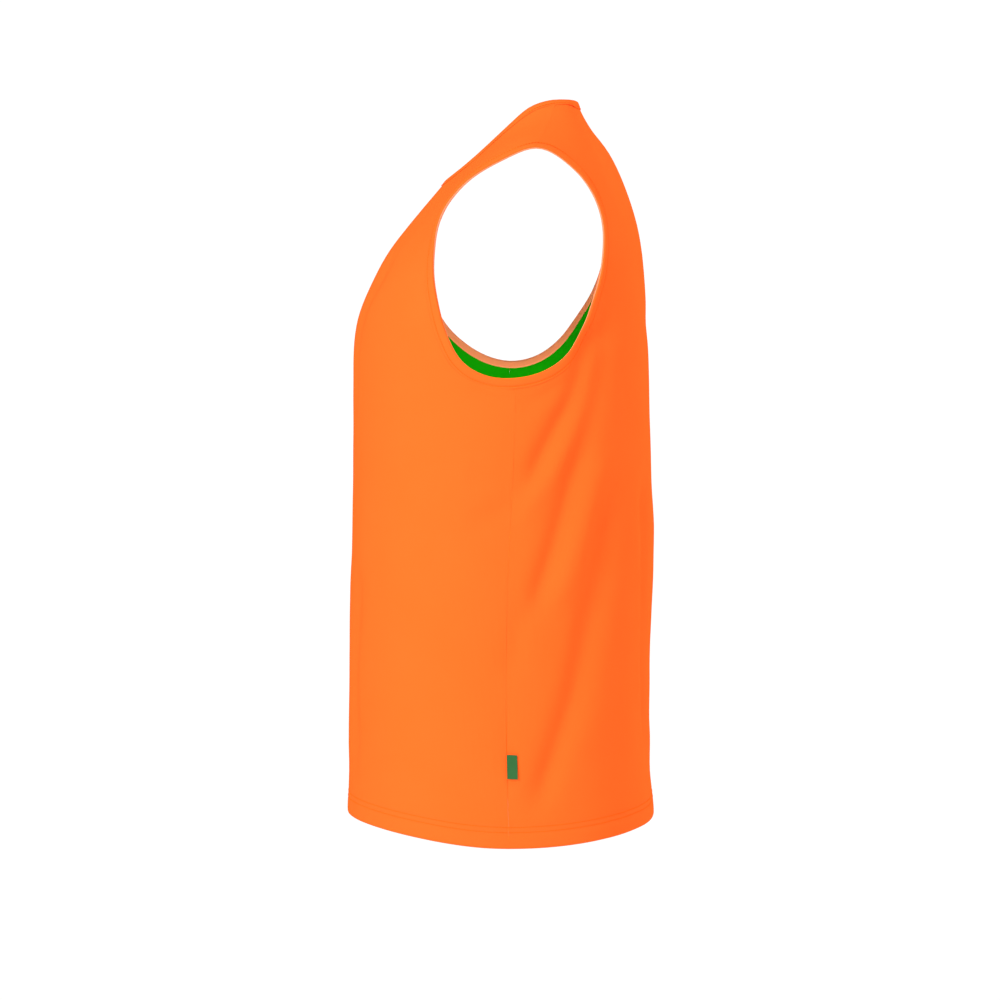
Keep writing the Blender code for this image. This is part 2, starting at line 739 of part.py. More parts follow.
def add_solid(name, vertices, faces, collection, cloth):
    """One closed object with outward faces, of the vertices that its faces use."""
    used = sorted({index for face in faces for index in face})
    place = {index: position for position, index in enumerate(used)}
    mesh = bpy.data.meshes.new(name)
    kept = [tuple(vertices[index]) for index in used]
    mesh.from_pydata(kept, [], [tuple(place[index] for index in face) for face in faces])
    shape = bmesh.new()
    shape.from_mesh(mesh)
    bmesh.ops.remove_doubles(shape, verts=shape.verts, dist=1e-7)
    bmesh.ops.recalc_face_normals(shape, faces=shape.faces)
    shape.to_mesh(mesh)
    shape.free()
    mesh.materials.append(cloth)
    mesh.shade_smooth()
    made = bpy.data.objects.new(name, mesh)
    collection.objects.link(made)
    return made


def parted(points):
    """The grid with its seam edges drawn back by half a gap, so that the panels don't touch."""
    drawn = points.copy()
    pull = GAP / 2
    armpit = BODY_ROWS + 2
    for row in range(armpit + 1):
        drawn[row, 0] += unit(points[row, 1] - points[row, 0]) * pull
        drawn[row, -1] += unit(points[row, -2] - points[row, -1]) * pull
    for column in range(points.shape[1]):
        if not np.isnan(points[-1, column, 0]):
            drawn[-1, column] += unit(points[-2, column] - points[-1, column]) * pull
    return drawn


def raised_hem(grid, height):
    """The grid's hem row, moved up its columns by height."""
    return grid[0] + unit(grid[1] - grid[0]) * height


def layer_faces(points, offset, flip):
    """Triangles of one side of a panel; its vertices start at offset, row by row."""
    flat = points.reshape(-1, 3)
    faces = []
    for cell in grid_cells(points):
        for face in split(*cell, flat):
            ordered = face[::-1] if flip else face
            faces.append(tuple(offset + index for index in ordered))
    return faces


def open_edges(faces):
    """The directed edges that only one of the faces has."""
    edges = {(a, b) for face in faces for a, b in zip(face, face[1:] + face[:1])}
    return [(a, b) for a, b in edges if (b, a) not in edges]


def strip_faces(first, second, closed=False):
    """Quads between two rows of vertex numbers."""
    count = len(first)
    last = count if closed else count - 1
    return [
        (first[k], first[(k + 1) % count], second[(k + 1) % count], second[k]) for k in range(last)
    ]


def outer_panel(name, points, normals, collection, cloth):
    """An outer panel: one wall, with its hem turned up inside the inner layer."""
    drawn = parted(points)
    rows, columns = points.shape[:2]
    inner = drawn - normals * CLOTH
    inner[0] = raised_hem(drawn, CLOTH) - normals[0] * CLOTH
    channel = raised_hem(drawn, CLOTH) - normals[0] * (STACK + GAP)
    leg_top = drawn[1] - normals[1] * (STACK + GAP)
    back_low = drawn[0] - normals[0] * (STACK + GAP + CLOTH)
    back_top = drawn[1] - normals[1] * (STACK + GAP + CLOTH)
    size = rows * columns
    vertices = np.vstack([
        drawn.reshape(-1, 3), inner.reshape(-1, 3), channel, leg_top, back_low, back_top,
    ])
    outer_faces = layer_faces(points, 0, False)
    faces = outer_faces + layer_faces(points, size, True)

    def row_numbers(start):
        return list(range(start, start + columns))

    outer_low, inner_low = row_numbers(0), row_numbers(size)
    channel_row, leg_row, low_row, top_row = (row_numbers(2 * size + k * columns) for k in range(4))
    for first, second in ((outer_low, low_row), (low_row, top_row), (top_row, leg_row),
                          (leg_row, channel_row), (channel_row, inner_low)):
        faces += strip_faces(first, second)
    for a, b in open_edges(outer_faces):
        if a >= columns or b >= columns:
            faces.append((b, a, a + size, b + size))
    for column in (0, columns - 1):
        low, top = low_row[column], top_row[column]
        channel_low, leg = channel_row[column], leg_row[column]
        faces.append((outer_low[column], inner_low[column], channel_low, low))
        faces.append((low, channel_low, leg, top))
    return add_solid(name, vertices, faces, collection, cloth)


def inner_panel(name, points, normals, collection, cloth):
    """A panel of the inner layer: a plain wall that ends inside the turned hem."""
    drawn = parted(points)
    drawn[0] = raised_hem(drawn, CLOTH + GAP)
    outer = drawn - normals * (CLOTH + GAP)
    inner = drawn - normals * STACK
    size = points.shape[0] * points.shape[1]
    vertices = np.vstack([outer.reshape(-1, 3), inner.reshape(-1, 3)])
    outer_faces = layer_faces(points, 0, False)
    faces = outer_faces + layer_faces(points, size, True)
    for a, b in open_edges(outer_faces):
        faces.append((b, a, a + size, b + size))
    return add_solid(name, vertices, faces, collection, cloth)


def folded_band(name, stations, collection, cloth):
    """A closed band folded over an edge, from stations of edge and inner points and normals."""
    edge = np.array([station[0] for station in stations])
    inner = np.array([station[1] for station in stations])
    edge_normal = np.array([station[2] for station in stations])
    inner_normal = np.array([station[3] for station in stations])
    distinct = [0]
    for k in range(1, len(edge)):
        same = np.linalg.norm(edge[k] - edge[k - 1]) < SAME
        distinct.append(distinct[-1] if same else k)
    unique = sorted(set(distinct))
    out = np.zeros_like(edge)
    for position, k in enumerate(unique):
        before, after = edge[unique[position - 1]], edge[unique[(position + 1) % len(unique)]]
        across = unit(np.cross(unit(after - before), edge_normal[k]))
        members = [m for m in range(len(edge)) if distinct[m] == k]
        for m in members:
            out[m] = across
        if np.mean([np.dot(edge[m] - inner[m], across) for m in members]) < 0:
            for m in members:
                out[m] = -across
    lifts = (GAP + CLOTH, GAP, -(STACK + GAP), -(STACK + GAP + CLOTH))
    reaches = (GAP + CLOTH, GAP, GAP, GAP + CLOTH)
    count = len(edge)
    vertices = []
    for lift, reach in zip(lifts, reaches):
        vertices.append(inner + inner_normal * lift)
        vertices.append(edge + out * reach + edge_normal * lift)
    flat = np.vstack([inner, edge])
    faces = []
    for k in range(count):
        after = (k + 1) % count
        for face in split(k, after, count + after, count + k, flat):
            for layer in range(4):
                faces.append(tuple(2 * count * layer + index for index in face))
    inner_rows = [[2 * count * layer + k for k in range(count)] for layer in range(4)]
    edge_rows = [[number + count for number in row] for row in inner_rows]
    faces += strip_faces(inner_rows[0], inner_rows[1], closed=True)
    faces += strip_faces(inner_rows[2], inner_rows[3], closed=True)
    faces += strip_faces(edge_rows[0], edge_rows[3], closed=True)
    faces += strip_faces(edge_rows[1], edge_rows[2], closed=True)
    return add_solid(name, np.vstack(vertices), faces, collection, cloth)


def armhole_stations(points, normals, armpit_row, left):
    """Stations round one armhole: down its front, over the seam, and up its back."""
    last = 2 * COLUMNS
    rows = len(points["front"])
    front, step = (last, -1) if left else (0, 1)
    back = last - front
    stations = []

    def add(name, edge_at, inner_at):
        stations.append((points[name][edge_at], points[name][inner_at],
                         normals[name][edge_at], normals[name][inner_at]))

    for row in range(rows - 1, armpit_row - 1, -1):
        add("front", (row, front), (row, front + step))
    add("front", (armpit_row, front), (armpit_row - 1, front))
    for row in range(armpit_row, rows - 1):
        add("back", (row, back), (row, back - step))
    return stations


def neck_stations(points, normals, corner):
    """Stations round the neck: down and across the front to the left, then across the back."""
    first, last = COLUMNS - STRAP_COLUMN, COLUMNS + STRAP_COLUMN
    stations = []
    for name in ("front", "back"):
        low, top = corner[name], len(points[name]) - 1
        places = [((row, first), (row, first - 1)) for row in range(top, low - 1, -1)]
        places += [((low, column), (low - 1, column)) for column in range(first, last + 1)]
        places += [((row, last), (row, last + 1)) for row in range(low, top + 1)]
        if name == "back":
            places = places[1:-1]
        for edge_at, inner_at in places:
            stations.append((points[name][edge_at], points[name][inner_at],
                             normals[name][edge_at], normals[name][inner_at]))
    return stations


def side_label(points, normals, collection, cloth):
    """The small woven label: a tab from the left side seam over the back panel."""
    seam, strip = points["back"][:BODY_ROWS, 0], points["back"][:BODY_ROWS, 1]
    seam_normals = normals["back"][:BODY_ROWS, 0]

    def at_height(height, heights, values):
        return np.array([np.interp(height, heights, values[:, axis]) for axis in range(3)])

    under, over = [], []
    for step_down in even(LABEL_ROWS):
        for aside in even(LABEL_COLUMNS):
            height = LABEL_TOP - LABEL_HEIGHT * step_down - LABEL_LEAN * aside
            share = aside * LABEL_WIDTH / SEAM_STRIP
            on_seam = at_height(height, seam[:, 2], seam)
            on_strip = at_height(height, strip[:, 2], strip)
            out = unit(at_height(height, seam[:, 2], seam_normals))
            base = on_seam * (1 - share) + on_strip * share + out * LABEL_LIFT
            under.append(base)
            over.append(base + out * LABEL_THICKNESS)
    size = len(under)
    columns = LABEL_COLUMNS + 1
    faces = []
    for row in range(LABEL_ROWS):
        for column in range(LABEL_COLUMNS):
            a = row * columns + column
            quad = (a, a + 1, a + 1 + columns, a + columns)
            faces.append(quad)
            faces.append(tuple(size + number for number in quad[::-1]))
    for edge in (
        list(range(columns)),
        list(range(size - columns, size)),
        list(range(0, size, columns)),
        list(range(LABEL_COLUMNS, size, columns)),
    ):
        faces += strip_faces(edge, [size + number for number in edge])
    return add_solid("side_label", np.vstack([under, over]), faces, collection, cloth)


def build():
    """Clear the scene and make every piece."""
    for old in list(bpy.data.objects):
        bpy.data.objects.remove(old, do_unlink=True)
    collection = bpy.data.collections.new("training_bib")
    bpy.context.scene.collection.children.link(collection)
    points, normals, armpit_row, corner = panels()
    for name in ("front", "back"):
        knit = material(name + "_knit", ORANGE, KNIT_ROUGHNESS)
        outer_panel(name, points[name], normals[name], collection, knit)
        inner_knit = material("inner_" + name + "_knit", GREEN, KNIT_ROUGHNESS)
        inner_panel("inner_" + name, points[name], normals[name], collection, inner_knit)
    for side, left in (("left", True), ("right", False)):
        band = material("armhole_band_" + side + "_knit", ORANGE, KNIT_ROUGHNESS)
        stations = armhole_stations(points, normals, armpit_row, left)
        folded_band("armhole_band_" + side, stations, collection, band)
    band = material("neck_band_knit", ORANGE, KNIT_ROUGHNESS)
    folded_band("neck_band", neck_stations(points, normals, corner), collection, band)
    woven = material("side_label_weave", LABEL_GREEN, LABEL_ROUGHNESS)
    side_label(points, normals, collection, woven)


build()
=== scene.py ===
"""A training bib dressed for its portrait: knit, folds, bands, sewing and a woven label.

Metres, +Z up. The wearer faces -Y and the wearer's left is +X. The cloth has the form of the
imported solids: the same sizes and the same working, on a grid twice as fine, which is then
smoothed once more. Each piece of cloth is an open sheet with a thickness.
"""

import math

import bpy
import numpy as np
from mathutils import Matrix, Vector, noise


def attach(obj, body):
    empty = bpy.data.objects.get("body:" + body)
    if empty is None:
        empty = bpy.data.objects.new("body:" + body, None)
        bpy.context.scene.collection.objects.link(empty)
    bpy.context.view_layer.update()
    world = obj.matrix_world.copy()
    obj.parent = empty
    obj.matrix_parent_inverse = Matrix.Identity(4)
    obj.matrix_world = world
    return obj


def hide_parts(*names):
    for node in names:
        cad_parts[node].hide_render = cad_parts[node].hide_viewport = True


# Sizes of the cut, in metres, the same as those of the solids
HEM_TURN = 0.020        # depth of the turned hem
ARMHOLE_BAND = 0.0095   # width of the folded band round an armhole
NECK_BAND = 0.0080      # width of the folded band round the neck
SEAM_STRIP = 0.0110     # first strip of each panel beside a side seam

# The side label, caught in the left side seam
LABEL_WIDTH = 0.0100
LABEL_HEIGHT = 0.0235
LABEL_WALL = 0.0006
LABEL_TOP = -0.6100
LABEL_LEAN = 0.0004     # how far the free end hangs lower than the sewn end
LABEL_LIFT = 0.0006     # clearance under it, for the bulge of the folds
LABEL_ROWS = 10
LABEL_COLUMNS = 6
LABEL_CURL = 0.0012     # how far its free corner stands off the cloth

# The hem, and the line where the body tube ends and the cut upper part begins
HEM = {"front": -0.6845, "back": -0.6880}   # at the centre of each panel
HEM_SEAM = -0.7008      # at the side seams, where the hem is lowest
HEM_REACH = {"front": 0.125, "back": 0.250}     # how far from the seams it stays mostly down
CHEST_LINE = -0.300     # at the centre front and centre back
ARMPIT = -0.246

# The body tube, from the hem up. Above the armpit the armholes cut into it.
BODY_COLUMNS = ("height", "half_width", "side", "squareness")
BODY = (
    (-0.700, 0.2150, -0.0440, 2.40),
    (-0.560, 0.2125, -0.0465, 2.40),
    (-0.440, 0.2100, -0.0450, 2.38),
    (-0.340, 0.2090, -0.0400, 2.32),
    (-0.246, 0.2080, -0.0375, 2.25),
    (-0.190, 0.2060, -0.0385, 2.22),
    (-0.130, 0.2020, -0.0390, 2.20),
    (-0.080, 0.1960, -0.0370, 2.20),
)

# Profiles of the centre front and the centre back, seen from the side
PROFILE_COLUMNS = ("height", "depth")
CENTRE_FRONT = (
    (-0.720, -0.2030),
    (-0.680, -0.2025),
    (-0.640, -0.2005),
    (-0.560, -0.2000),
    (-0.440, -0.1985),
    (-0.340, -0.1970),
    (-0.260, -0.1965),
    (-0.216, -0.1950),
    (-0.190, -0.1912),
    (-0.164, -0.1807),
    (-0.132, -0.1640),
    (-0.100, -0.1392),
    (-0.056, -0.1035),
)
CENTRE_BACK = (
    (-0.720, 0.1045),
    (-0.680, 0.1035),
    (-0.640, 0.0995),
    (-0.590, 0.0965),
    (-0.540, 0.0970),
    (-0.440, 0.1005),
    (-0.340, 0.1010),
    (-0.236, 0.0975),
    (-0.164, 0.0950),
    (-0.116, 0.0897),
    (-0.084, 0.0817),
    (-0.044, 0.0668),
    (-0.024, 0.0560),
    (-0.012, 0.0456),
    (0.004, 0.0324),
    (0.021, 0.0265),
)

# Edges as (x, y, z), all given on the wearer's left. The neck and the shoulders are the same on
# both sides. The right armhole is fuller at its lower back, and flatter at its lower front.
ARMHOLE_FRONT = {
    "left": (
        (0.2080, -0.0375, ARMPIT),
        (0.2060, -0.0650, -0.2445),
        (0.2010, -0.0890, -0.2320),
        (0.1930, -0.1045, -0.2050),
        (0.1830, -0.1135, -0.1750),
        (0.1700, -0.1190, -0.1340),
        (0.1685, -0.1115, -0.0885),
        (0.1725, -0.0875, -0.0565),
        (0.1805, -0.0500, -0.0330),
        (0.1860, -0.0170, -0.0205),
    ),
    "right": (
        (0.2080, -0.0375, ARMPIT),
        (0.2060, -0.0585, -0.2415),
        (0.2010, -0.0825, -0.2285),
        (0.1930, -0.1065, -0.2050),
        (0.1830, -0.1190, -0.1750),
        (0.1700, -0.1215, -0.1340),
        (0.1685, -0.1115, -0.0885),
        (0.1725, -0.0875, -0.0565),
        (0.1805, -0.0500, -0.0330),
        (0.1860, -0.0170, -0.0205),
    ),
}
ARMHOLE_BACK = {
    "left": (
        (0.2080, -0.0375, ARMPIT),
        (0.2050, -0.0110, -0.2400),
        (0.1960, 0.0130, -0.2245),
        (0.1840, 0.0295, -0.2000),
        (0.1740, 0.0405, -0.1710),
        (0.1665, 0.0495, -0.1350),
        (0.1640, 0.0500, -0.0960),
        (0.1680, 0.0388, -0.0640),
        (0.1760, 0.0205, -0.0422),
        (0.1860, -0.0170, -0.0205),
    ),
    "right": (
        (0.2080, -0.0375, ARMPIT),
        (0.2050, -0.0110, -0.2410),
        (0.1960, 0.0140, -0.2235),
        (0.1830, 0.0340, -0.1970),
        (0.1680, 0.0500, -0.1700),
        (0.1560, 0.0605, -0.1360),
        (0.1540, 0.0600, -0.0960),
        (0.1610, 0.0475, -0.0620),
        (0.1725, 0.0260, -0.0410),
        (0.1860, -0.0170, -0.0205),
    ),
}
NECK_FRONT = (
    (0.000, -0.103, -0.056),
    (0.030, -0.099, -0.053),
    (0.056, -0.084, -0.041),
    (0.074, -0.0605, -0.0205),
    (0.084, -0.0385, 0.0000),
    (0.088, -0.0170, 0.0180),
    (0.089, 0.003, 0.0235),
)
NECK_BACK = (
    (0.000, 0.0265, 0.021),
    (0.034, 0.0255, 0.0215),
    (0.065, 0.0208, 0.0228),
    (0.083, 0.0130, 0.0235),
    (0.089, 0.003, 0.0235),
)
SHOULDER = (
    (0.089, 0.003, 0.0235),
    (0.118, -0.002, 0.0065),
    (0.153, -0.010, -0.0080),
    (0.186, -0.017, -0.0205),
)

# The folds, as (side, depth, half_width, path). A path runs along the fold as seen square on to
# its side of the body: (y, z) on the left and right sides, (x, z) on the front and the back.
FOLDS = (
    ("left", -0.0078, 0.0105, (
        (0.0460, -0.1880), (0.0334, -0.2175), (0.0194, -0.2639),
        (0.0006, -0.2987), (-0.0120, -0.3238), (-0.0304, -0.3596),
    )),
    ("left", -0.0024, 0.0110, (
        (-0.0180, -0.3480), (-0.0400, -0.3640), (-0.0620, -0.3780), (-0.0860, -0.3880),
    )),
    ("left", 0.0038, 0.0120, (
        (0.0520, -0.1980), (0.0412, -0.2300), (0.0257, -0.2919),
        (0.0035, -0.3238), (-0.0178, -0.3577), (-0.0365, -0.3870),
    )),
    ("left", -0.0068, 0.0115, (
        (0.0600, -0.1500), (0.0560, -0.1780), (0.0508, -0.2078), (0.0441, -0.2518),
        (0.0315, -0.2987), (0.0194, -0.3393), (0.0102, -0.3766), (0.0006, -0.4080),
        (-0.0091, -0.4389), (-0.0178, -0.4641), (-0.0246, -0.4854),
    )),
    ("left", 0.0040, 0.0125, (
        (0.0508, -0.3079), (0.0412, -0.3519), (0.0286, -0.3954),
        (0.0160, -0.4327), (0.0006, -0.4699),
    )),
    ("left", -0.0082, 0.0130, (
        (0.0595, -0.3268), (0.0537, -0.3761), (0.0475, -0.4264), (0.0383, -0.4699),
        (0.0286, -0.5170), (0.0194, -0.5575), (0.0035, -0.6043), (-0.0120, -0.6449),
        (-0.0275, -0.6730),
    )),
    ("left", 0.0016, 0.0170, (
        (0.0715, -0.4200), (0.0615, -0.5000), (0.0505, -0.5570), (0.0315, -0.6200),
    )),
    ("left", -0.0024, 0.0120, ((-0.0330, -0.4600), (-0.0360, -0.5000), (-0.0480, -0.5400))),
    ("left", -0.0014, 0.0070, ((-0.0820, -0.2520), (-0.0560, -0.2660), (-0.0400, -0.2700))),
    ("left", -0.0018, 0.0070, ((-0.0340, -0.2720), (-0.0080, -0.2620), (0.0120, -0.2440))),
    ("left", -0.0020, 0.0080, ((-0.0840, -0.3340), (-0.0620, -0.3460), (-0.0440, -0.3400))),
    ("right", -0.0072, 0.0140, (
        (0.0460, -0.1900), (0.0260, -0.3000), (-0.0060, -0.4000), (-0.0280, -0.4700),
    )),
    ("right", -0.0058, 0.0130, ((-0.1000, -0.2550), (-0.0840, -0.3300), (-0.0440, -0.4100))),
    ("right", 0.0034, 0.0150, ((-0.0820, -0.2620), (-0.0620, -0.3300), (-0.0300, -0.3900))),
    ("right", 0.0038, 0.0160, ((0.0700, -0.3000), (0.0520, -0.4000), (0.0220, -0.5000))),
    ("right", -0.0078, 0.0150, ((0.0400, -0.4000), (0.0220, -0.5200), (-0.0180, -0.6600))),
    ("right", -0.0012, 0.0080, ((-0.0740, -0.2620), (-0.0500, -0.2720), (-0.0280, -0.2700))),
    ("right", 0.0026, 0.0160, ((0.0620, -0.4700), (0.0480, -0.5600), (0.0140, -0.6500))),
    ("back", -0.0070, 0.0170, ((0.0950, -0.3300), (0.0800, -0.4700), (0.0520, -0.6400))),
    ("back", -0.0060, 0.0160, ((-0.0700, -0.3000), (-0.0880, -0.4400), (-0.0820, -0.6000))),
    ("back", 0.0030, 0.0230, ((0.0240, -0.3600), (0.0100, -0.5000), (0.0040, -0.6600))),
    ("back", -0.0014, 0.0180, (
        (-0.1100, -0.1300), (-0.0600, -0.1800), (0.0100, -0.2000), (0.0800, -0.1700),
    )),
    ("back", -0.0030, 0.0150, ((-0.1250, -0.1500), (-0.1000, -0.2000), (-0.0600, -0.2300))),
    ("back", 0.0018, 0.0200, ((-0.0400, -0.4200), (-0.0340, -0.5200), (-0.0400, -0.6400))),
    ("front", -0.0040, 0.0160, ((0.0800, -0.1200), (0.0500, -0.2000), (0.0400, -0.3000))),
    ("front", -0.0052, 0.0170, ((-0.0700, -0.3800), (-0.0520, -0.5000), (-0.0600, -0.6400))),
    ("front", 0.0016, 0.0240, ((0.0200, -0.4200), (0.0340, -0.5400), (0.0300, -0.6600))),
    ("front", -0.0040, 0.0150, ((-0.1200, -0.1900), (-0.0800, -0.2600), (-0.0600, -0.3300))),
    ("front", -0.0036, 0.0170, ((0.0900, -0.4300), (0.0720, -0.5300), (0.0800, -0.6500))),
)
FOLD_FADE = 0.18        # share of a fold's length over which each end dies away
FOLD_TURN = 1.6         # how fast a fold fades where the cloth turns away from its view

# The grid of half a panel, from its centre out to the side seam. The neck takes a notch out
# of its inner upper corner: the strap is the block of columns beside that notch.
COLUMNS = 28
CROWDING = 0.22         # how much closer than the mean the columns are at the side
STRAP_COLUMN = 10       # the column that runs up to the notch's corner on the neck edge
BODY_ROWS = 20          # between the turned hem and the line just under the armpit
UPPER_ROWS = 26         # from the armpit to the shoulder
SECTION_ROWS = 12       # how many of these are sections of the body tube
STRAP_ROWS = {"front": 8, "back": 4}    # how many of these are beside the neck
NECK_CORNER = {"front": 0.46, "back": 0.74}     # where the corner is, as a share of the neck edge
COLLAR_ROWS = 2         # how many rows under the back of the neck stand up like a collar
COLLAR_HOLD = 2.0       # how firmly they do, against the cloth's bends
CORNER_FAN = 0.0046     # the strip's corner parts by this much each way along the neck
ARMPIT_DROP = 2.2       # the strip's column starts this many bands below the armpit
CHEST_STEP = 0.012      # from the chest line down to the row below it
STEEP_FIRST = 4.0       # how late a row turns up to the armhole: at the chest line
STEEP_LAST = 2.0        # and at the last section
SEAM_POWER = 4          # how late a row of the tube lifts to its height at the side seam
EDGE_POWER = 3          # how late a row of a section is drawn on to the armhole's edge

CURVE_STEPS = 16        # points of a dense line for each point of its table
LINE_POINTS = 96        # points of a dense line that is worked out
NEAR = 0.002            # how far apart two points are that give an edge's direction

# Each piece of cloth is one surface, smoothed once, with its wall inwards
WALL = 0.0008           # a layer of knit
BAND_WALL = 0.0005      # each leg of a folded band
INNER_DEPTH = 0.0013    # from the outer surface to the surface of the inner layer
INNER_RISE = 0.0030     # the inner layer ends this much above the hem's fold
SEAM_PULL = 0.00001     # the panels' edges are drawn back by this at a seam
SEAM_PART = 0.00005     # and by this more at the outer layer's side seams, above the hem's fold
SEAM_DIP = 0.0002       # and the cloth dips by this towards a side seam
LABEL_TUG = 0.0016      # and by this more beside the label, which pulls the seam in
LABEL_PART = 0.00018    # where the outer layer's edges are also drawn back by this more
LABEL_TUG_REACH = 0.028     # how far up and down the seam the label's pull dies away
HEM_ROWS = (0.0, 0.006, 0.0125, 0.0150, 0.0175, 0.0200, 0.0225)     # heights above the fold
HEM_STITCHED = (3, 5)   # the rows that the hem's two lines of stitches follow
HEM_DRAWN = 0.0005      # how much the stitches draw the cloth in

# The hem's fold and its turned part, as (height above the fold, depth under the outer surface)
HEM_FOLD = (
    (0.0014, 0.0000),
    (-0.0008, 0.0003),
    (-0.0012, 0.0018),
    (-0.0008, 0.0033),
    (0.0014, 0.0036),
    (0.0120, 0.0036),
    (0.0200, 0.0036),
)

# A folded band across its width, as (share of the width inwards from the cut edge, reach past
# that edge, height over the panel's outer surface)
BAND_PROFILE = (
    (1.040, 0.0000, 0.0003),
    (1.020, 0.0000, 0.0008),
    (0.880, 0.0000, 0.0010),
    (0.800, 0.0000, 0.0008),
    (0.740, 0.0000, 0.0003),
    (0.680, 0.0000, 0.0008),
    (0.560, 0.0000, 0.0010),
    (0.300, 0.0000, 0.0010),
    (0.060, 0.0000, 0.0009),
    (0.000, 0.0006, 0.0005),
    (0.000, 0.0010, -0.0012),
    (0.000, 0.0006, -0.0028),
    (0.060, 0.0000, -0.0031),
    (0.300, 0.0000, -0.0032),
    (0.640, 0.0000, -0.0032),
    (0.700, 0.0000, -0.0027),
)
BAND_STITCHED = 4       # the place in the profile where the band is stitched down
BAND_RIM = 10           # the first place in the profile that faces inwards

# Sewing
STITCH_PITCH = 0.0029   # from one stitch to the next
STITCH_LENGTH = 0.0021
STITCH_SIDES = 6
STITCH_LIFT = 0.0001    # how far its line lies over the cloth
# A stitch along its length, as (share, radius, height)
STITCH_PROFILE = (
    (0.00, 0.00016, -0.00020),
    (0.14, 0.00030, 0.00000),
    (0.50, 0.00034, 0.00008),
    (0.86, 0.00030, 0.00000),
    (1.00, 0.00016, -0.00020),
)

# The cloth's slight unevenness, as (how many times a metre, depth)
UNEVEN = (
    (11.0, 0.0011),
    (26.0, 0.0004),
)

# Knit and colours, linear
WALE = 0.00115          # from one column of stitches to the next
COURSE = 0.00090        # from one row of stitches to the next
KNIT_DEPTH = 0.00018
KNIT_STRENGTH = 0.5
KNIT_ROUGHNESS = 0.62
BLOTCH_SCALE = 22.0
BLOTCH_DETAIL = 3.0
PAINTED_SHADE_IN_KNIT_HOLLOWS = 0.30    # share of the darker colour in the hollows of the knit: painted shade
DARK_TONE_IN_BLOTCH = 0.25  # and its share in the blotches, a tone that differs at random
# The second, darker colour of each knit is painted shade in the knit's hollows, and also the random
# tone of its blotches
ORANGE = (1.0, 0.112, 0.0170, 1.0)
ORANGE_PAINTED_SHADE_AND_BLOTCH = (1.0, 0.092, 0.0090, 1.0)
GREEN = (0.006, 0.270, 0.0010, 1.0)
GREEN_PAINTED_SHADE_AND_BLOTCH = (0.005, 0.230, 0.0008, 1.0)
SALMON = (1.0, 0.240, 0.130, 1.0)
SALMON_PAINTED_SHADE_AND_BLOTCH = (1.0, 0.200, 0.100, 1.0)
THREAD = (0.90, 0.100, 0.004, 1.0)
THREAD_ROUGHNESS = 0.6
WOVEN_GREEN = (0.028, 0.115, 0.032, 1.0)
# the darker green is painted shade in the grooves between the label's ribs
WOVEN_PAINTED_SHADE = (0.014, 0.070, 0.018, 1.0)
WOVEN_ROUGHNESS = 0.6
WOVEN_SHEEN = 0.1
RIB = 0.0006            # from one rib of the label's weave to the next
RIB_DEPTH = 0.00015
RIB_STRENGTH = 0.6

# The view, the light and the floor
CAMERA_AT = (6.10, -0.1245, 0.004)
CAMERA_AIM = (0.0, -0.050, -0.376)
CAMERA_LENS = 219.8
CAMERA_SENSOR = 36.0
CAMERA_REACH = 100.0    # how far the camera sees
FLOOR_HEIGHT = -1.45
FLOOR_SIZE = 60.0
FLOOR_COLOUR = (0.90, 0.90, 0.90, 1.0)
FLOOR_ROUGHNESS = 0.9
SKY_SEEN = 1.04         # how bright the sky looks to the camera
SKY = 0.72              # and how much it lights the cloth
FLOOR_SEEN = 1.04
LAMP_SIZE = 1.6

# The lamps, as (name, place, power)
LAMPS = (
    ("key", (3.30, -2.30, 1.10), 176.0),
    ("top", (1.20, 0.40, 3.20), 60.0),
    ("side", (-0.60, 4.10, 0.30), 60.0),
    ("far", (-3.40, 2.20, 1.00), 85.0),
    ("front", (-1.20, -4.00, 0.80), 36.0),
)
INSIDE_AT = (0.0, 0.000, -0.430)
INSIDE_POWER = 2.6
INSIDE_SIZE = 0.04


# ---- curves -----------------

def unit(vectors):
    """The vectors at length one."""
    vectors = np.asarray(vectors, float)
    return vectors / np.linalg.norm(vectors, axis=-1, keepdims=True)


def smooth_line(points, before=None, after=None):
    """A dense smooth line through the points: a cubic from each to the next.

    `before` and `after` are the points that the line would have beyond its ends.
    """
    points = np.asarray(points, float)
    first = 2 * points[0] - points[1] if before is None else np.asarray(before, float)
    last = 2 * points[-1] - points[-2] if after is None else np.asarray(after, float)
    chain = np.vstack([first, points, last])
    spans = np.linalg.norm(np.diff(chain, axis=0), axis=1)
    rates = np.diff(chain, axis=0) / spans[:, None]
    ahead, behind = spans[1:, None], spans[:-1, None]
    slopes = (rates[:-1] * ahead + rates[1:] * behind) / (ahead + behind)
    dense = []
    for index in range(len(points) - 1):
        share = np.linspace(0.0, 1.0, CURVE_STEPS, endpoint=False)[:, None]
        span = spans[index + 1]
        dense.append(
            points[index] * (1 + 2 * share) * (1 - share) ** 2
            + slopes[index] * span * share * (1 - share) ** 2
            + points[index + 1] * share**2 * (3 - 2 * share)
            + slopes[index + 1] * span * share**2 * (share - 1)
        )
    dense.append(points[-1:])
    return np.vstack(dense)


def lengths_along(line):
    """The distance along a dense line at each of its points."""
    steps = np.linalg.norm(np.diff(line, axis=0), axis=1)
    return np.concatenate([[0.0], np.cumsum(steps)])


def points_along(line, distances):
    """The points of a dense line at the given distances from its start."""
    measured = lengths_along(line)
    return np.stack([np.interp(distances, measured, line[:, axis]) for axis in range(3)], axis=-1)


def even(count):
    """Shares from 0 to 1 in `count` equal steps."""
    return np.linspace(0.0, 1.0, count + 1)


def crowded(count):
    """Shares from 0 to 1 in `count` steps that shrink towards the end."""
    return even(count) * (1 + CROWDING) - CROWDING * even(count) ** 2


def spread(line, shares):
    """Points of a dense line at the given shares of its length."""
    return points_along(line, lengths_along(line)[-1] * shares)


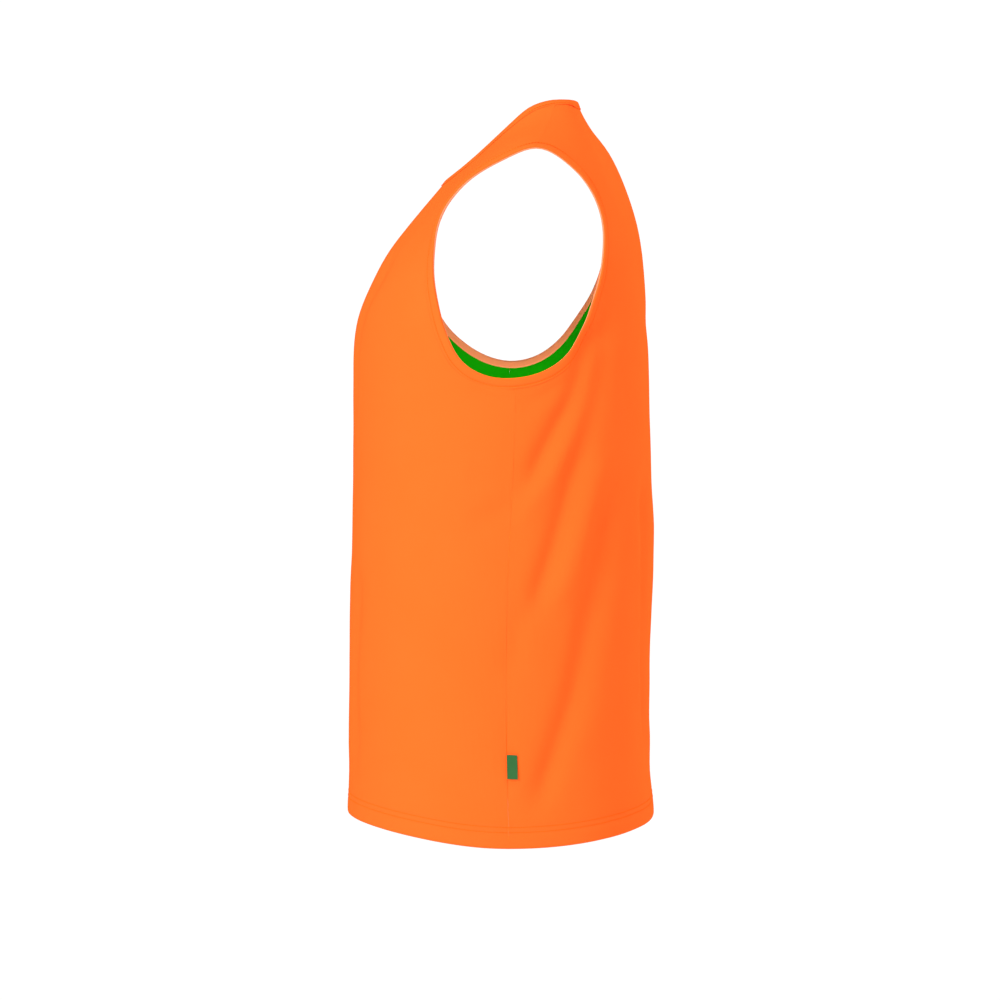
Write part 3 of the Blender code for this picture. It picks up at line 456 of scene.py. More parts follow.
def table_value(table, names, wanted, heights):
    """One column of a table, smoothly interpolated at the given heights."""
    rows = np.asarray(table, float)
    column = names.index(wanted)
    line = smooth_line(np.column_stack([rows[:, 0], rows[:, column], np.zeros(len(rows))]))
    return np.interp(heights, line[:, 0], line[:, 1])


# ---- the body tube ----------

def section_at(profile, heights):
    """The tube's half width, its side seam's place, its depth from there, and its power."""
    half_width, side, squareness = (
        table_value(BODY, BODY_COLUMNS, name, heights) for name in BODY_COLUMNS[1:]
    )
    depth = table_value(profile, PROFILE_COLUMNS, "depth", heights) - side
    return half_width, side, depth, 2.0 / squareness


def tube_line(edges, centre_height, side_height, dip):
    """A row of the body tube from the centre of a panel to the side seam.

    The row dips round the side like the hem, and near the seam it lifts to side_height.
    """
    turn = np.linspace(0.0, 1.0, LINE_POINTS)
    angle = turn * math.pi / 2
    depth, power = section_at(edges["profile"], centre_height)[2:]
    from_seam = depth * np.abs(np.cos(angle)) ** power
    down = np.exp(-((from_seam / edges["reach"]) ** 2))
    down = (down - down[0]) / (down[-1] - down[0])
    lift = side_height - centre_height + dip
    heights = centre_height - dip * down + lift * turn**SEAM_POWER
    half_width, side, depth, power = section_at(edges["profile"], heights)
    x = half_width * np.sin(angle) ** power
    y = side + depth * np.abs(np.cos(angle)) ** power
    y[-1] = side[-1]
    return np.column_stack([x, y, heights])


def tube_point(profile, from_seam, height):
    """The point of the tube that is from_seam in front of or behind the side seam."""
    half_width, side, depth, power = section_at(profile, height)
    x = half_width * (1 - (from_seam / abs(depth)) ** (2 / power)) ** (power / 2)
    return np.array([x, side + math.copysign(from_seam, depth), height])


def cut_line(profile, centre_height, edge, steepness):
    """A row of the tube that ends at the armhole: its share of the section, up to the edge."""
    share = np.linspace(0.0, 1.0, LINE_POINTS)
    heights = centre_height + (edge[2] - centre_height) * share**steepness
    half_width, side, depth, power = section_at(profile, heights)
    reach = (edge[1] - side[-1]) / depth[-1]
    angle = share * math.acos(max(reach, 0.0) ** (1 / power[-1]))
    x = half_width * np.sin(angle) ** power
    y = side + depth * np.cos(angle) ** power
    line = np.column_stack([x, y, heights])
    return line + share[:, None] ** EDGE_POWER * (edge - line[-1])


def centre_line(profile, bottom, top):
    """The dense centre line of a panel between two heights."""
    rows = np.asarray(profile, float)
    line = smooth_line(np.column_stack([np.zeros(len(rows)), rows[:, 1], rows[:, 0]]))
    heights = np.linspace(bottom, top, LINE_POINTS)
    depths = np.interp(heights, line[:, 2], line[:, 1])
    return np.column_stack([np.zeros(LINE_POINTS), depths, heights])


# ---- the cut upper part -----

def mirrored(point):
    """The point on the wearer's other side."""
    return np.asarray(point, float) * (-1.0, 1.0, 1.0)


def edge_lines(hand):
    """The dense cut edges of both panels on one side: armhole, neck and shoulder."""
    tables = {
        "front": (CENTRE_FRONT, ARMHOLE_FRONT[hand], NECK_FRONT),
        "back": (CENTRE_BACK, ARMHOLE_BACK[hand], NECK_BACK),
    }
    lines = {}
    for name, other in (("front", "back"), ("back", "front")):
        profile, armhole, neck = tables[name]
        other_armhole, other_neck = tables[other][1:]
        lines[name] = {
            "profile": profile,
            "hem": HEM[name],
            "reach": HEM_REACH[name],
            "corner": NECK_CORNER[name],
            "armhole": smooth_line(armhole, before=other_armhole[1], after=other_armhole[-2]),
            "neck": smooth_line(neck, before=mirrored(neck[1]), after=other_neck[-2]),
            "shoulder": smooth_line(SHOULDER),
        }
    return lines


def upper_start(edges, strap_rows):
    """The upper part of half a panel before it is eased: its edges and its fixed rows.

    Row 0 is one step down the tube and row 1 is the chest line. The next SECTION_ROWS rows are
    the tube's own sections, cut off by the armhole. The last row is the shoulder seam. Where
    nothing is fixed yet, or in the notch of the neck, the grid holds no number.
    """
    grid = np.full((UPPER_ROWS + 2, COLUMNS + 1, 3), np.nan)
    corner_row = UPPER_ROWS + 1 - strap_rows
    low_neck, side_neck = neck_parts(edges)
    rise = centre_line(edges["profile"], CHEST_LINE, low_neck[0][2])
    centre = spread(rise, even(corner_row - 1))
    armhole = spread(edges["armhole"], even(UPPER_ROWS))
    step = np.linalg.norm(centre[1] - centre[0])
    for row, drop in ((0, step), (1, 0.0)):
        line = tube_line(edges, CHEST_LINE - drop, ARMPIT - drop, 0.0)
        grid[row] = spread(line, crowded(COLUMNS))
    grid[1:corner_row + 1, 0] = centre
    grid[1:, COLUMNS] = armhole
    for row in range(1, SECTION_ROWS + 1):
        steepness = STEEP_FIRST + (STEEP_LAST - STEEP_FIRST) * row / SECTION_ROWS
        line = cut_line(edges["profile"], centre[row][2], armhole[row], steepness)
        grid[row + 1] = spread(line, crowded(COLUMNS))
    grid[corner_row, :STRAP_COLUMN + 1] = spread(low_neck, even(STRAP_COLUMN))
    grid[corner_row:, STRAP_COLUMN] = spread(side_neck, even(strap_rows))
    grid[-1, STRAP_COLUMN:] = spread(edges["shoulder"], even(COLUMNS - STRAP_COLUMN))
    return grid


def neck_parts(edges):
    """The dense neck edge in two parts: below the notch's corner, and beside the strap."""
    line = edges["neck"]
    measured = lengths_along(line)
    index = int(round(np.interp(edges["corner"] * measured[-1], measured, np.arange(len(line)))))
    return line[:index + 1], line[index:]


def free_places(grids):
    """A number for each inside point that is still to be found."""
    number = {}
    for side in grids:
        corner_row = UPPER_ROWS + 1 - STRAP_ROWS[side]
        for row in range(SECTION_ROWS + 2, UPPER_ROWS + 1):
            first = 1 if row < corner_row else STRAP_COLUMN + 1
            for column in range(first, COLUMNS):
                number[side, row, column] = len(number)
    return number


def bend(before, here, after):
    """The weights on three places in a line whose sum is the bend there."""
    return [(1, before), (-2, here), (1, after)]


def bends(grids, number):
    """The bends that the cloth resists: lists of weights on grid places.

    Each is a change of direction along a row or a column, or a twist of one cell. Some go over
    the shoulder seam, and others keep the collar of the back as upright all along as it is at
    the centre. The last ones, returned apart, keep the centre line square.
    """
    inside, centre = [], []
    twist = math.sqrt(2)
    for side, grid in grids.items():
        known = ~np.isnan(grid[..., 0])

        def there(row, column, side=side, known=known):
            """Whether the grid has a point there, or will have one."""
            return known[row, column] or (side, row, column) in number

        for row in range(SECTION_ROWS + 1, UPPER_ROWS + 1):
            for column in range(COLUMNS):
                here = (side, row, column)
                cell = [(row, column), (row + 1, column), (row, column + 1), (row + 1, column + 1)]
                if all(there(*place) for place in cell):
                    weights = (twist, -twist, -twist, twist)
                    inside.append([(w, (side, *place)) for w, place in zip(weights, cell)])
                if here not in number and row > SECTION_ROWS + 1:
                    continue
                if column > 0 and there(row, column - 1):
                    inside.append(bend((side, row, column - 1), here, (side, row, column + 1)))
                if column > 0 and there(row + 1, column):
                    inside.append(bend((side, row - 1, column), here, (side, row + 1, column)))
            if (side, row, 1) in number:
                centre.append([(2, (side, row, 1)), (-2, (side, row, 0))])
    top = UPPER_ROWS + 1
    for column in range(STRAP_COLUMN + 1, COLUMNS):
        low_front, low_back = ((side, top - 1, column) for side in ("front", "back"))
        inside.append(bend(low_front, ("front", top, column), low_back))
    neck = top - STRAP_ROWS["back"]
    for row in range(neck - COLLAR_ROWS, neck):
        for column in range(1, STRAP_COLUMN + 1):
            places = ((row, column), (row, 0), (neck, column), (neck, 0))
            weights = (COLLAR_HOLD, -COLLAR_HOLD, -COLLAR_HOLD, COLLAR_HOLD)
            inside.append([(w, ("back", *place)) for w, place in zip(weights, places)])
    return inside, centre


def eased_upper(lines):
    """Both upper parts with their insides eased into one smooth shell over the shoulder.

    The cloth between the cut edges takes the shape of a thin plate that bends least. It goes
    on smoothly from the body tube, from one half to the other, and over the shoulder seam.
    """
    grids = {side: upper_start(edges, STRAP_ROWS[side]) for side, edges in lines.items()}
    number = free_places(grids)
    inside, centre = bends(grids, number)
    for axis in range(3):
        used = inside if axis == 0 else inside + centre
        matrix = np.zeros((len(used), len(number)))
        wanted = np.zeros(len(used))
        for line, terms in enumerate(used):
            for weight, (side, row, column) in terms:
                if (side, row, column) in number:
                    matrix[line, number[side, row, column]] += weight
                else:
                    wanted[line] -= weight * grids[side][row, column, axis]
        solved = np.linalg.lstsq(matrix, wanted, rcond=None)[0]
        for (side, row, column), unknown in number.items():
            grids[side][row, column, axis] = solved[unknown]
    return grids


# ---- the grid of a panel ----

def body_rows(edges):
    """The rows of half a panel from the hem up to the armpit."""
    hem = edges["hem"]
    centre = [hem + height for height in HEM_ROWS]
    side = [HEM_SEAM + height for height in HEM_ROWS]
    first_centre, first_side = centre[-1], side[-1]
    last_centre, last_side = CHEST_LINE - CHEST_STEP, ARMPIT - ARMHOLE_BAND
    for share in even(BODY_ROWS)[1:]:
        centre.append(first_centre + (last_centre - first_centre) * share)
        side.append(first_side + (last_side - first_side) * share)
    centre.append(CHEST_LINE)
    side.append(ARMPIT)
    rows = []
    for centre_height, side_height in zip(centre, side):
        dip = (hem - HEM_SEAM) * (CHEST_LINE - centre_height) / (CHEST_LINE - hem)
        line = tube_line(edges, centre_height, side_height, dip)
        total = lengths_along(line)[-1]
        places = crowded(COLUMNS - 1) * (total - SEAM_STRIP)
        rows.append(points_along(line, np.append(places, total)))
    armpit, below = len(rows) - 1, len(rows) - 2
    for row, bands in ((armpit, 1.0), (below, ARMPIT_DROP)):
        height = ARMPIT - bands * ARMHOLE_BAND
        rows[row][COLUMNS - 1] = tube_point(edges["profile"], ARMHOLE_BAND, height)
    return rows


def set_back(line, edge, tangent, width):
    """The point of a dense line, starting at an edge point, that is width in from that edge."""
    away = line - edge
    square = away - (away @ tangent)[:, None] * tangent
    depth = np.linalg.norm(square, axis=1)
    index = int(np.argmax(depth >= width))
    share = (width - depth[index - 1]) / (depth[index] - depth[index - 1])
    return edge + square[index - 1] + share * (square[index] - square[index - 1])


def stretched(row, armhole_tangent, neck_tangent=None):
    """A row of the eased grid with its points moved along it, to put strips at its ends.

    The point before the last comes to lie ARMHOLE_BAND in from the armhole. With a neck
    tangent, the second point comes to lie NECK_BAND in from the neck.
    """
    on_centre = neck_tangent is None
    line = smooth_line(row, before=mirrored(row[1]) if on_centre else None)
    places = lengths_along(line)[::CURVE_STEPS]
    outer = set_back(line[::-1], row[-1], armhole_tangent, ARMHOLE_BAND)
    reach = nearest_length(line, outer)
    if on_centre:
        moved = points_along(line, places[:-1] * reach / places[-2])
    else:
        inner = set_back(line, row[0], neck_tangent, NECK_BAND)
        start = nearest_length(line, inner)
        shares = (places[1:-1] - places[1]) / (places[-2] - places[1])
        moved = np.vstack([row[0], points_along(line, start + shares * (reach - start))])
        moved[1] = inner
    moved[-1] = outer
    return np.vstack([moved, row[-1]])


def nearest_length(line, point):
    """The distance along a dense line to its point nearest to the given one."""
    return lengths_along(line)[int(np.argmin(np.linalg.norm(line - point, axis=1)))]


def halfway(rows):
    """The points halfway between the middle two of four rows, on a cubic through all four."""
    return (9 * (rows[1] + rows[2]) - (rows[0] + rows[3])) / 16


def upper_rows(edges, eased, strap_rows):
    """The rows above the armpit, and the index among them of the row at the notch's corner."""
    corner_row = UPPER_ROWS + 1 - strap_rows
    low_neck, side_neck = neck_parts(edges)
    corner = low_neck[-1]
    along_neck = unit(side_neck[1] - low_neck[-2])
    inward = eased[corner_row - 1, STRAP_COLUMN + 1] - corner
    inward = unit(inward - (inward @ along_neck) * along_neck)

    rows = []
    for row in range(2, corner_row):
        tangent = edge_at(edges["armhole"], (row - 1) / UPPER_ROWS)[1]
        rows.append(stretched(eased[row], tangent))

    strip = []
    for column in range(STRAP_COLUMN):
        here, tangent = edge_at(low_neck, column / STRAP_COLUMN)
        down = smooth_line(eased[corner_row:corner_row - 4:-1, column])
        strip.append(set_back(down, here, tangent, NECK_BAND))
    strip.append(corner + inward * NECK_BAND - along_neck * CORNER_FAN)
    around = [eased[row, STRAP_COLUMN:] for row in range(corner_row - 2, corner_row + 2)]
    middle = halfway(around)
    middle[-1], tangent = edge_at(edges["armhole"], (corner_row - 1.5) / UPPER_ROWS)
    under = stretched(middle, tangent, along_neck)[1:]
    under[0] = middle[1]
    rows.append(np.vstack([strip, under]))

    for row in range(corner_row, UPPER_ROWS + 2):
        armhole_tangent = edge_at(edges["armhole"], (row - 1) / UPPER_ROWS)[1]
        neck_tangent = edge_at(side_neck, (row - corner_row) / strap_rows)[1]
        strap = stretched(eased[row, STRAP_COLUMN:], armhole_tangent, neck_tangent)
        beside = np.full((STRAP_COLUMN, 3), np.nan)
        if row == corner_row:
            strap[1] = corner + inward * NECK_BAND + along_neck * CORNER_FAN
            beside = eased[row, :STRAP_COLUMN]
        rows.append(np.vstack([beside, strap]))
    return rows, corner_row - 1


def edge_at(line, share):
    """The point of a dense line at a share of its length, and the direction there."""
    place = lengths_along(line)[-1] * share
    before, here, after = points_along(line, [place - NEAR, place, place + NEAR])
    return here, unit(after - before)


def half_grid(edges, eased, strap_rows):
    """All points of half a panel, with the index of its armpit row and its corner row."""
    low = body_rows(edges)
    high, corner = upper_rows(edges, eased, strap_rows)
    return np.array(low + high), len(low) - 1, len(low) + corner


def grid_cells(points):
    """The cells of a full grid that are cloth, as their four corner numbers."""
    rows, columns = points.shape[:2]
    known = ~np.isnan(points[..., 0])
    for row in range(rows - 1):
        for column in range(columns - 1):
            if known[row:row + 2, column:column + 2].all():
                a = row * columns + column
                yield a, a + 1, a + 1 + columns, a + columns


def split(a, b, c, d, points):
    """Two triangles for the quad a, b, c, d, parted by its shorter diagonal."""
    one = np.linalg.norm(points[a] - points[c])
    other = np.linalg.norm(points[b] - points[d])
    if one <= other:
        return [(a, b, c), (a, c, d)]
    return [(a, b, d), (b, c, d)]


def smoothed_normals(points):
    """Outward normals of a full grid, each the mean of the triangles round it."""
    flat = points.reshape(-1, 3)
    total = np.zeros_like(flat)
    for cell in grid_cells(points):
        for face in split(*cell, flat):
            a, b, c = (flat[index] for index in face)
            total[list(face)] += np.cross(b - a, c - a)
    length = np.linalg.norm(total, axis=1, keepdims=True)
    return (total / np.where(length > 0, length, 1.0)).reshape(points.shape)


def panels():
    """The smooth outer surface of both panels as full grids, with normals and marked rows."""
    halves, made, corner = {}, {}, {}
    for hand in ("left", "right"):
        lines = edge_lines(hand)
        eased = eased_upper(lines)
        for name, edges in lines.items():
            half, armpit_row, corner[name] = half_grid(edges, eased[name], STRAP_ROWS[name])
            halves[name, hand] = half
    for name in corner:
        other = mirrored(halves[name, "right"][:, :0:-1])
        full = np.concatenate([other, halves[name, "left"]], axis=1)
        made[name] = full[:, ::-1] if name == "back" else full
    normals = {name: smoothed_normals(points) for name, points in made.items()}
    share_normals(normals, armpit_row)
    return made, normals, armpit_row, corner


def seam_pairs(armpit_row, rows):
    """Grid places of the front and the back that lie on the same seam."""
    last = 2 * COLUMNS
    for row in range(armpit_row + 1):
        yield (row, 0), (row, last)
        yield (row, last), (row, 0)
    strap = COLUMNS - STRAP_COLUMN
    for column in list(range(strap + 1)) + list(range(last - strap, last + 1)):
        yield (rows - 1, column), (rows - 1, last - column)


def share_normals(normals, armpit_row):
    """Give both panels the same normals along their seams."""
    for front, back in seam_pairs(armpit_row, len(normals["front"])):
        both = unit(normals["front"][front] + normals["back"][back])
        normals["front"][front] = both
        normals["back"][back] = both


# ---- folds ------------------

def fold_lift(points, normals):
    """How far the folds and the cloth's unevenness move each point along its normal."""
    views = {
        "left": (1, normals[:, 0]),
        "right": (1, -normals[:, 0]),
        "front": (0, -normals[:, 1]),
        "back": (0, normals[:, 1]),
    }
    lift = np.zeros(len(points))
    for side, depth, half_width, path in FOLDS:
        axis, facing = views[side]
        flat = points[:, (axis, 2)]
        line = smooth_line([(a, b, 0.0) for a, b in path])[:, :2]
        away = np.linalg.norm(flat[:, None] - line[None], axis=-1)
        share = np.argmin(away, axis=-1) / (len(line) - 1)
        ends = np.clip(np.minimum(share, 1 - share) / FOLD_FADE, 0.0, 1.0)
        ends = ends * ends * (3 - 2 * ends)
        turned = np.clip(FOLD_TURN * facing, 0.0, 1.0)
        lift += depth * np.exp(-((away.min(axis=-1) / half_width) ** 2)) * ends * turned
    for scale, depth in UNEVEN:
        lift += [depth * noise.noise(Vector(point) * scale) for point in points]
    return lift


def folded(points, normals):
    """The points with the folds put in."""
    return points + normals * fold_lift(points, normals)[:, None]


# ---- meshes -----------------

def add_mesh(name, vertices, faces, materials, uv=None, face_materials=None):
    """An object with smooth faces; uv has one (across, along) pair a vertex, in metres."""
    mesh = bpy.data.meshes.new(name)
    mesh.from_pydata([tuple(v) for v in vertices], [], faces)
    for each in materials:
        mesh.materials.append(each)
    if face_materials is not None:
        mesh.polygons.foreach_set("material_index", face_materials)
    if uv is not None:
        layer = mesh.uv_layers.new(name="cloth")
        corners = np.empty(len(mesh.loops), dtype=np.int32)
        mesh.loops.foreach_get("vertex_index", corners)
        layer.data.foreach_set("uv", np.asarray(uv, np.float32)[corners].ravel())
    mesh.shade_smooth()
    made = bpy.data.objects.new(name, mesh)
    bpy.context.scene.collection.objects.link(made)
    return made


def keep_rims_sharp(mesh):
    """Mark the open edges sharp, so that the shading of a sheet isn't bent along its rim."""
    used = np.empty(len(mesh.loops), dtype=np.int32)
    mesh.loops.foreach_get("edge_index", used)
    open_edges = np.bincount(used, minlength=len(mesh.edges)) == 1
    sharp = mesh.attributes.new("sharp_edge", "BOOLEAN", "EDGE")
    sharp.data.foreach_set("value", open_edges)


def cloth_sheet(name, vertices, faces, normals, uv, thickness, materials, face_materials=None):
    """A sheet of cloth: the faces smoothed once, the folds put in, and a thickness inwards."""
    rough = add_mesh(name, vertices, faces, materials, uv, face_materials)
    carried = rough.data.attributes.new("outward", "FLOAT_VECTOR", "POINT")
    carried.data.foreach_set("vector", np.asarray(normals, np.float32).ravel())
    smooth = rough.modifiers.new("smooth", "SUBSURF")
    smooth.levels = smooth.render_levels = 1
    smooth.boundary_smooth = "PRESERVE_CORNERS"
    graph = bpy.context.evaluated_depsgraph_get()
    fine = bpy.data.meshes.new_from_object(rough.evaluated_get(graph))
    rough.modifiers.remove(smooth)
    coarse, rough.data = rough.data, fine
    bpy.data.meshes.remove(coarse)
    fine.name = name
    count = len(fine.vertices)
    points = np.empty(3 * count, dtype=np.float32)
    outward = np.empty(3 * count, dtype=np.float32)
    fine.vertices.foreach_get("co", points)
    fine.attributes["outward"].data.foreach_get("vector", outward)
    moved = folded(points.reshape(-1, 3).astype(float), unit(outward.reshape(-1, 3)))
    fine.vertices.foreach_set("co", moved.astype(np.float32).ravel())
    fine.attributes.remove(fine.attributes["outward"])
    fine.shade_smooth()
    keep_rims_sharp(fine)
    fine.update()
    wall = rough.modifiers.new("thickness", "SOLIDIFY")
    wall.thickness = thickness
    wall.offset = -1.0
    return rough


def sewn_edges(points, armpit_row):
    """The grid places that lie on a side seam or a shoulder seam, each with its neighbour."""
    last = points.shape[1] - 1
    for row in range(armpit_row + 1):
        yield (row, 0), (row, 1)
        yield (row, last), (row, last - 1)
    for column in range(last + 1):
        if not np.isnan(points[-1, column, 0]):
            yield (-1, column), (-2, column)


def cloth_places(points):
    """Where each grid point is in the cloth's own two directions, in metres."""
    middle = points.shape[1] // 2
    places = np.zeros(points.shape[:2] + (2,))
    for side in (1, -1):
        for row, line in enumerate(points[:, middle::side]):
            first = int(np.argmax(~np.isnan(line[:, 0])))
            across = abs(line[first, 0]) + lengths_along(line[first:])
            places[row, middle::side][first:, 0] = side * across
    steps = np.linalg.norm(np.diff(points, axis=0), axis=-1)
    places[1:, :, 1] = np.cumsum(np.nan_to_num(steps), axis=0)
    return places


def used_only(vertices, faces, *more):
    """The vertices that faces use, the faces renumbered, and the same rows of the other arrays."""
    used = sorted({index for face in faces for index in face})
    number = {index: position for position, index in enumerate(used)}
    renumbered = [tuple(number[index] for index in face) for face in faces]
    return (np.asarray(vertices)[used], renumbered, *(np.asarray(each)[used] for each in more))


def panel_sheet(name, points, normals, armpit_row, depth, materials):
    """One layer of a panel. The outer one, at no depth, goes round the hem's fold."""
    layer = points - normals * depth
    fold = () if depth > 0 else HEM_FOLD[::-1]
    for here, beside in sewn_edges(points, armpit_row):
        pull = SEAM_PULL
        if here[0] >= 0:
            from_label = (points[here][2] - LABEL_TOP) / LABEL_TUG_REACH
            near_label = math.exp(-from_label**2) if points[here][0] > 0 else 0.0
            layer[here] -= normals[here] * (SEAM_DIP + LABEL_TUG * near_label)
            if fold and here[0] > 0:
                pull += SEAM_PART + LABEL_PART * near_label
        layer[here] += unit(points[beside] - points[here]) * pull
    places = cloth_places(points)
    up = unit(points[1] - points[0])
    if fold:
        rows = list(HEM_STITCHED)
        layer[rows] -= normals[rows] * HEM_DRAWN
    else:
        layer[0] += up * INNER_RISE
    first = 1 if fold else 0
    turned = [layer[0] + up * height - normals[0] * inwards for height, inwards in fold]
    below = [(0.0, HEM_TURN * (len(fold) - step) / len(fold)) for step in range(len(fold))]
    grid = np.array(turned + list(layer[first:]))
    outward = np.array([normals[0]] * len(fold) + list(normals[first:]))
    uv = np.array([places[0] - each for each in below] + list(places[first:]))
    vertices, faces, outward, uv = used_only(
        grid.reshape(-1, 3), list(grid_cells(grid)), outward.reshape(-1, 3), uv.reshape(-1, 2)
    )
    return cloth_sheet(name, vertices, faces, outward, uv, WALL, materials)


# ---- bands ------------------

def armhole_stations(points, normals, armpit_row, left):
    """Stations round one armhole: down its front, over the seam, and up its back."""
    last = 2 * COLUMNS
    rows = len(points["front"])
    front, step = (last, -1) if left else (0, 1)
    back = last - front
    down, up = range(rows - 1, armpit_row, -1), range(armpit_row + 1, rows - 1)
    places = [("front", (row, front), (row, front + step)) for row in down]
    places.append(("front", (armpit_row, front), (armpit_row - 1, front)))
    places += [("back", (row, back), (row, back - step)) for row in up]
    return stations_at(points, normals, places)


def neck_stations(points, normals, corner):
    """Stations round the neck: down and across the front to the left, then across the back."""
    first, last = COLUMNS - STRAP_COLUMN, COLUMNS + STRAP_COLUMN
    stations = []
    for name in ("front", "back"):
        low, top = corner[name], len(points[name]) - 1
        places = [(name, (row, first), (row, first - 1)) for row in range(top, low, -1)]
        places.append((name, (low, first), None))
        places += [(name, (low, column), (low - 1, column)) for column in range(first + 1, last)]
        places.append((name, (low, last), None))
        places += [(name, (row, last), (row, last + 1)) for row in range(low + 1, top + 1)]
        if name == "back":
            places = places[1:-1]
        stations += stations_at(points, normals, places)
    return stations


def stations_at(points, normals, places):
    """(edge point, inner point, edge normal, inner normal) for each place on a cut edge.

    With no inner place, the edge point is a notch's corner: its inner point lies halfway
    between the strip's two points beside it.
    """
    stations = []
    for name, at_edge, at_inner in places:
        grid, outward = points[name], normals[name]
        if at_inner is None:
            row, column = at_edge
            side = -1 if column < COLUMNS else 1
            beside = [(row - 1, column), (row, column + side)]
            inner = sum(grid[each] for each in beside) / 2
            inner_normal = unit(sum(outward[each] for each in beside))
        else:
            inner, inner_normal = grid[at_inner], outward[at_inner]
        stations.append((grid[at_edge], inner, outward[at_edge], inner_normal))
    return stations


def band_grid(stations):
    """The points and normals of a band: one row a station, one column a point of its profile."""
    edge, inner, edge_normal, inner_normal = (np.array(each) for each in zip(*stations))
    along = unit(np.roll(edge, -1, axis=0) - np.roll(edge, 1, axis=0))
    out = unit(np.cross(along, edge_normal))
    if ((edge - inner) * out).sum() < 0:
        out = -out
    points, outward = [], []
    for share, reach, height in BAND_PROFILE:
        normal = unit(edge_normal * (1 - share) + inner_normal * share)
        points.append(edge + (inner - edge) * share + out * reach + normal * height)
        outward.append(normal)
    return np.stack(points, axis=1), np.stack(outward, axis=1)


def band(name, stations, materials):
    """A folded band as a closed ribbon round a cut edge; its inside has the second material."""
    points, outward = band_grid(stations)
    count, width = points.shape[:2]
    turned = np.cross(points[1, 0] - points[0, 0], points[0, 1] - points[0, 0])
    flip = float(turned @ outward[0, 0]) < 0
    faces, face_materials = [], []
    for station in range(count):
        for step in range(width - 1):
            here, after = station * width + step, (station + 1) % count * width + step
            face = (here, after, after + 1, here + 1)
            faces.append(face[::-1] if flip else face)
            face_materials.append(int(step >= BAND_RIM))
    along, across = lengths_along(points[:, 0]), lengths_along(points[0])
    uv = np.stack(np.broadcast_arrays(across[None], along[:, None]), axis=-1).reshape(-1, 2)
    return cloth_sheet(name, points.reshape(-1, 3), faces, outward.reshape(-1, 3), uv,
                       BAND_WALL, materials, face_materials)


# ---- sewing -----------------

def stitch_line(points, normals):
    """A closed line of even stitches: for each, its two ends and the cloth's normal."""
    closed = np.vstack([points, points[:1]])
    line = smooth_line(closed, before=points[-1], after=points[1])
    closed_normals = np.vstack([normals, normals[:1]])
    total = lengths_along(line)[-1]
    count = int(total / STITCH_PITCH)
    starts = total * np.arange(count) / count
    first = points_along(line, starts)
    second = points_along(line, starts + STITCH_LENGTH)
    knots = lengths_along(line)[::CURVE_STEPS]
    outward = np.stack([np.interp(starts, knots, closed_normals[:, axis]) for axis in range(3)], -1)
    return first, second, unit(outward)


def rod_faces():
    """The faces of one stitch: its rings of points joined, and its two ends."""
    sides, last = STITCH_SIDES, (len(STITCH_PROFILE) - 1) * STITCH_SIDES
    faces = []
    for low in range(0, last, sides):
        for k in range(sides):
            after = (k + 1) % sides
            faces.append((low + k, low + after, low + sides + after, low + sides + k))
    return [*faces, tuple(range(sides))[::-1], tuple(range(last, last + sides))]


def stitches(name, lines, thread):
    """All the stitches of some closed lines as one mesh of small rounded rods."""
    vertices, faces, rod = [], [], rod_faces()
    ring = [(math.cos(turn), math.sin(turn)) for turn in even(STITCH_SIDES)[:-1] * 2 * math.pi]
    for points, normals in lines:
        first, second, outward = stitch_line(points, normals)
        first, second = folded(first, outward), folded(second, outward)
        along = unit(second - first)
        side = unit(np.cross(along, outward))
        up = np.cross(side, along)
        for a, b, s, u in zip(first, second, side, up):
            start = len(vertices)
            for share, width, height in STITCH_PROFILE:
                middle = a + (b - a) * share + u * height
                vertices += [middle + (s * x + u * y) * width for x, y in ring]
            faces += [tuple(start + index for index in face) for face in rod]
    return add_mesh(name, vertices, faces, [thread])


def hem_ring(points, normals, row):
    """A closed line round the hem along one stitched row of both panels."""
    outward = np.vstack([normals[name][row][:-1] for name in ("front", "back")])
    line = np.vstack([points[name][row][:-1] for name in ("front", "back")])
    return line + outward * (STITCH_LIFT - HEM_DRAWN), outward


def band_ring(stations):
    """A closed line round a band where it is stitched down."""
    points, outward = band_grid(stations)
    outward = outward[:, BAND_STITCHED]
    return points[:, BAND_STITCHED] + outward * STITCH_LIFT, outward


# ---- the label --------------

def side_label(points, normals, armpit_row, woven):
    """The small woven label: a flap out of the left side seam over the back panel."""
    rows = slice(0, armpit_row - 2)
    seam, strip = points["back"][rows, 0], points["back"][rows, 1]
    seam_normals = normals["back"][rows, 0]

    def at_height(height, heights, values):
        """The values at a height, from those at the given heights."""
        return np.array([np.interp(height, heights, values[:, axis]) for axis in range(3)])

    vertices, outward, uv = [], [], []
    for down in even(LABEL_ROWS):
        for aside in even(LABEL_COLUMNS):
            height = LABEL_TOP - LABEL_HEIGHT * down - LABEL_LEAN * aside
            share = aside * LABEL_WIDTH / SEAM_STRIP
            base = at_height(height, seam[:, 2], seam) * (1 - share)
            base = base + at_height(height, strip[:, 2], strip) * share
            out = unit(at_height(height, seam[:, 2], seam_normals))
            curl = LABEL_CURL * aside**2 * (1 + math.cos(math.pi * (down - 1))) / 2
            vertices.append(base + out * (LABEL_LIFT + LABEL_WALL + curl))
            outward.append(out)
            uv.append((LABEL_WIDTH * aside, -LABEL_HEIGHT * down))
    columns = LABEL_COLUMNS + 1
    faces = []
    for row in range(LABEL_ROWS):
        for column in range(LABEL_COLUMNS):
            a = row * columns + column
            faces.append((a, a + columns, a + columns + 1, a + 1))
    return cloth_sheet("bib_label", vertices, faces, outward, uv, LABEL_WALL, [woven])


# ---- materials --------------

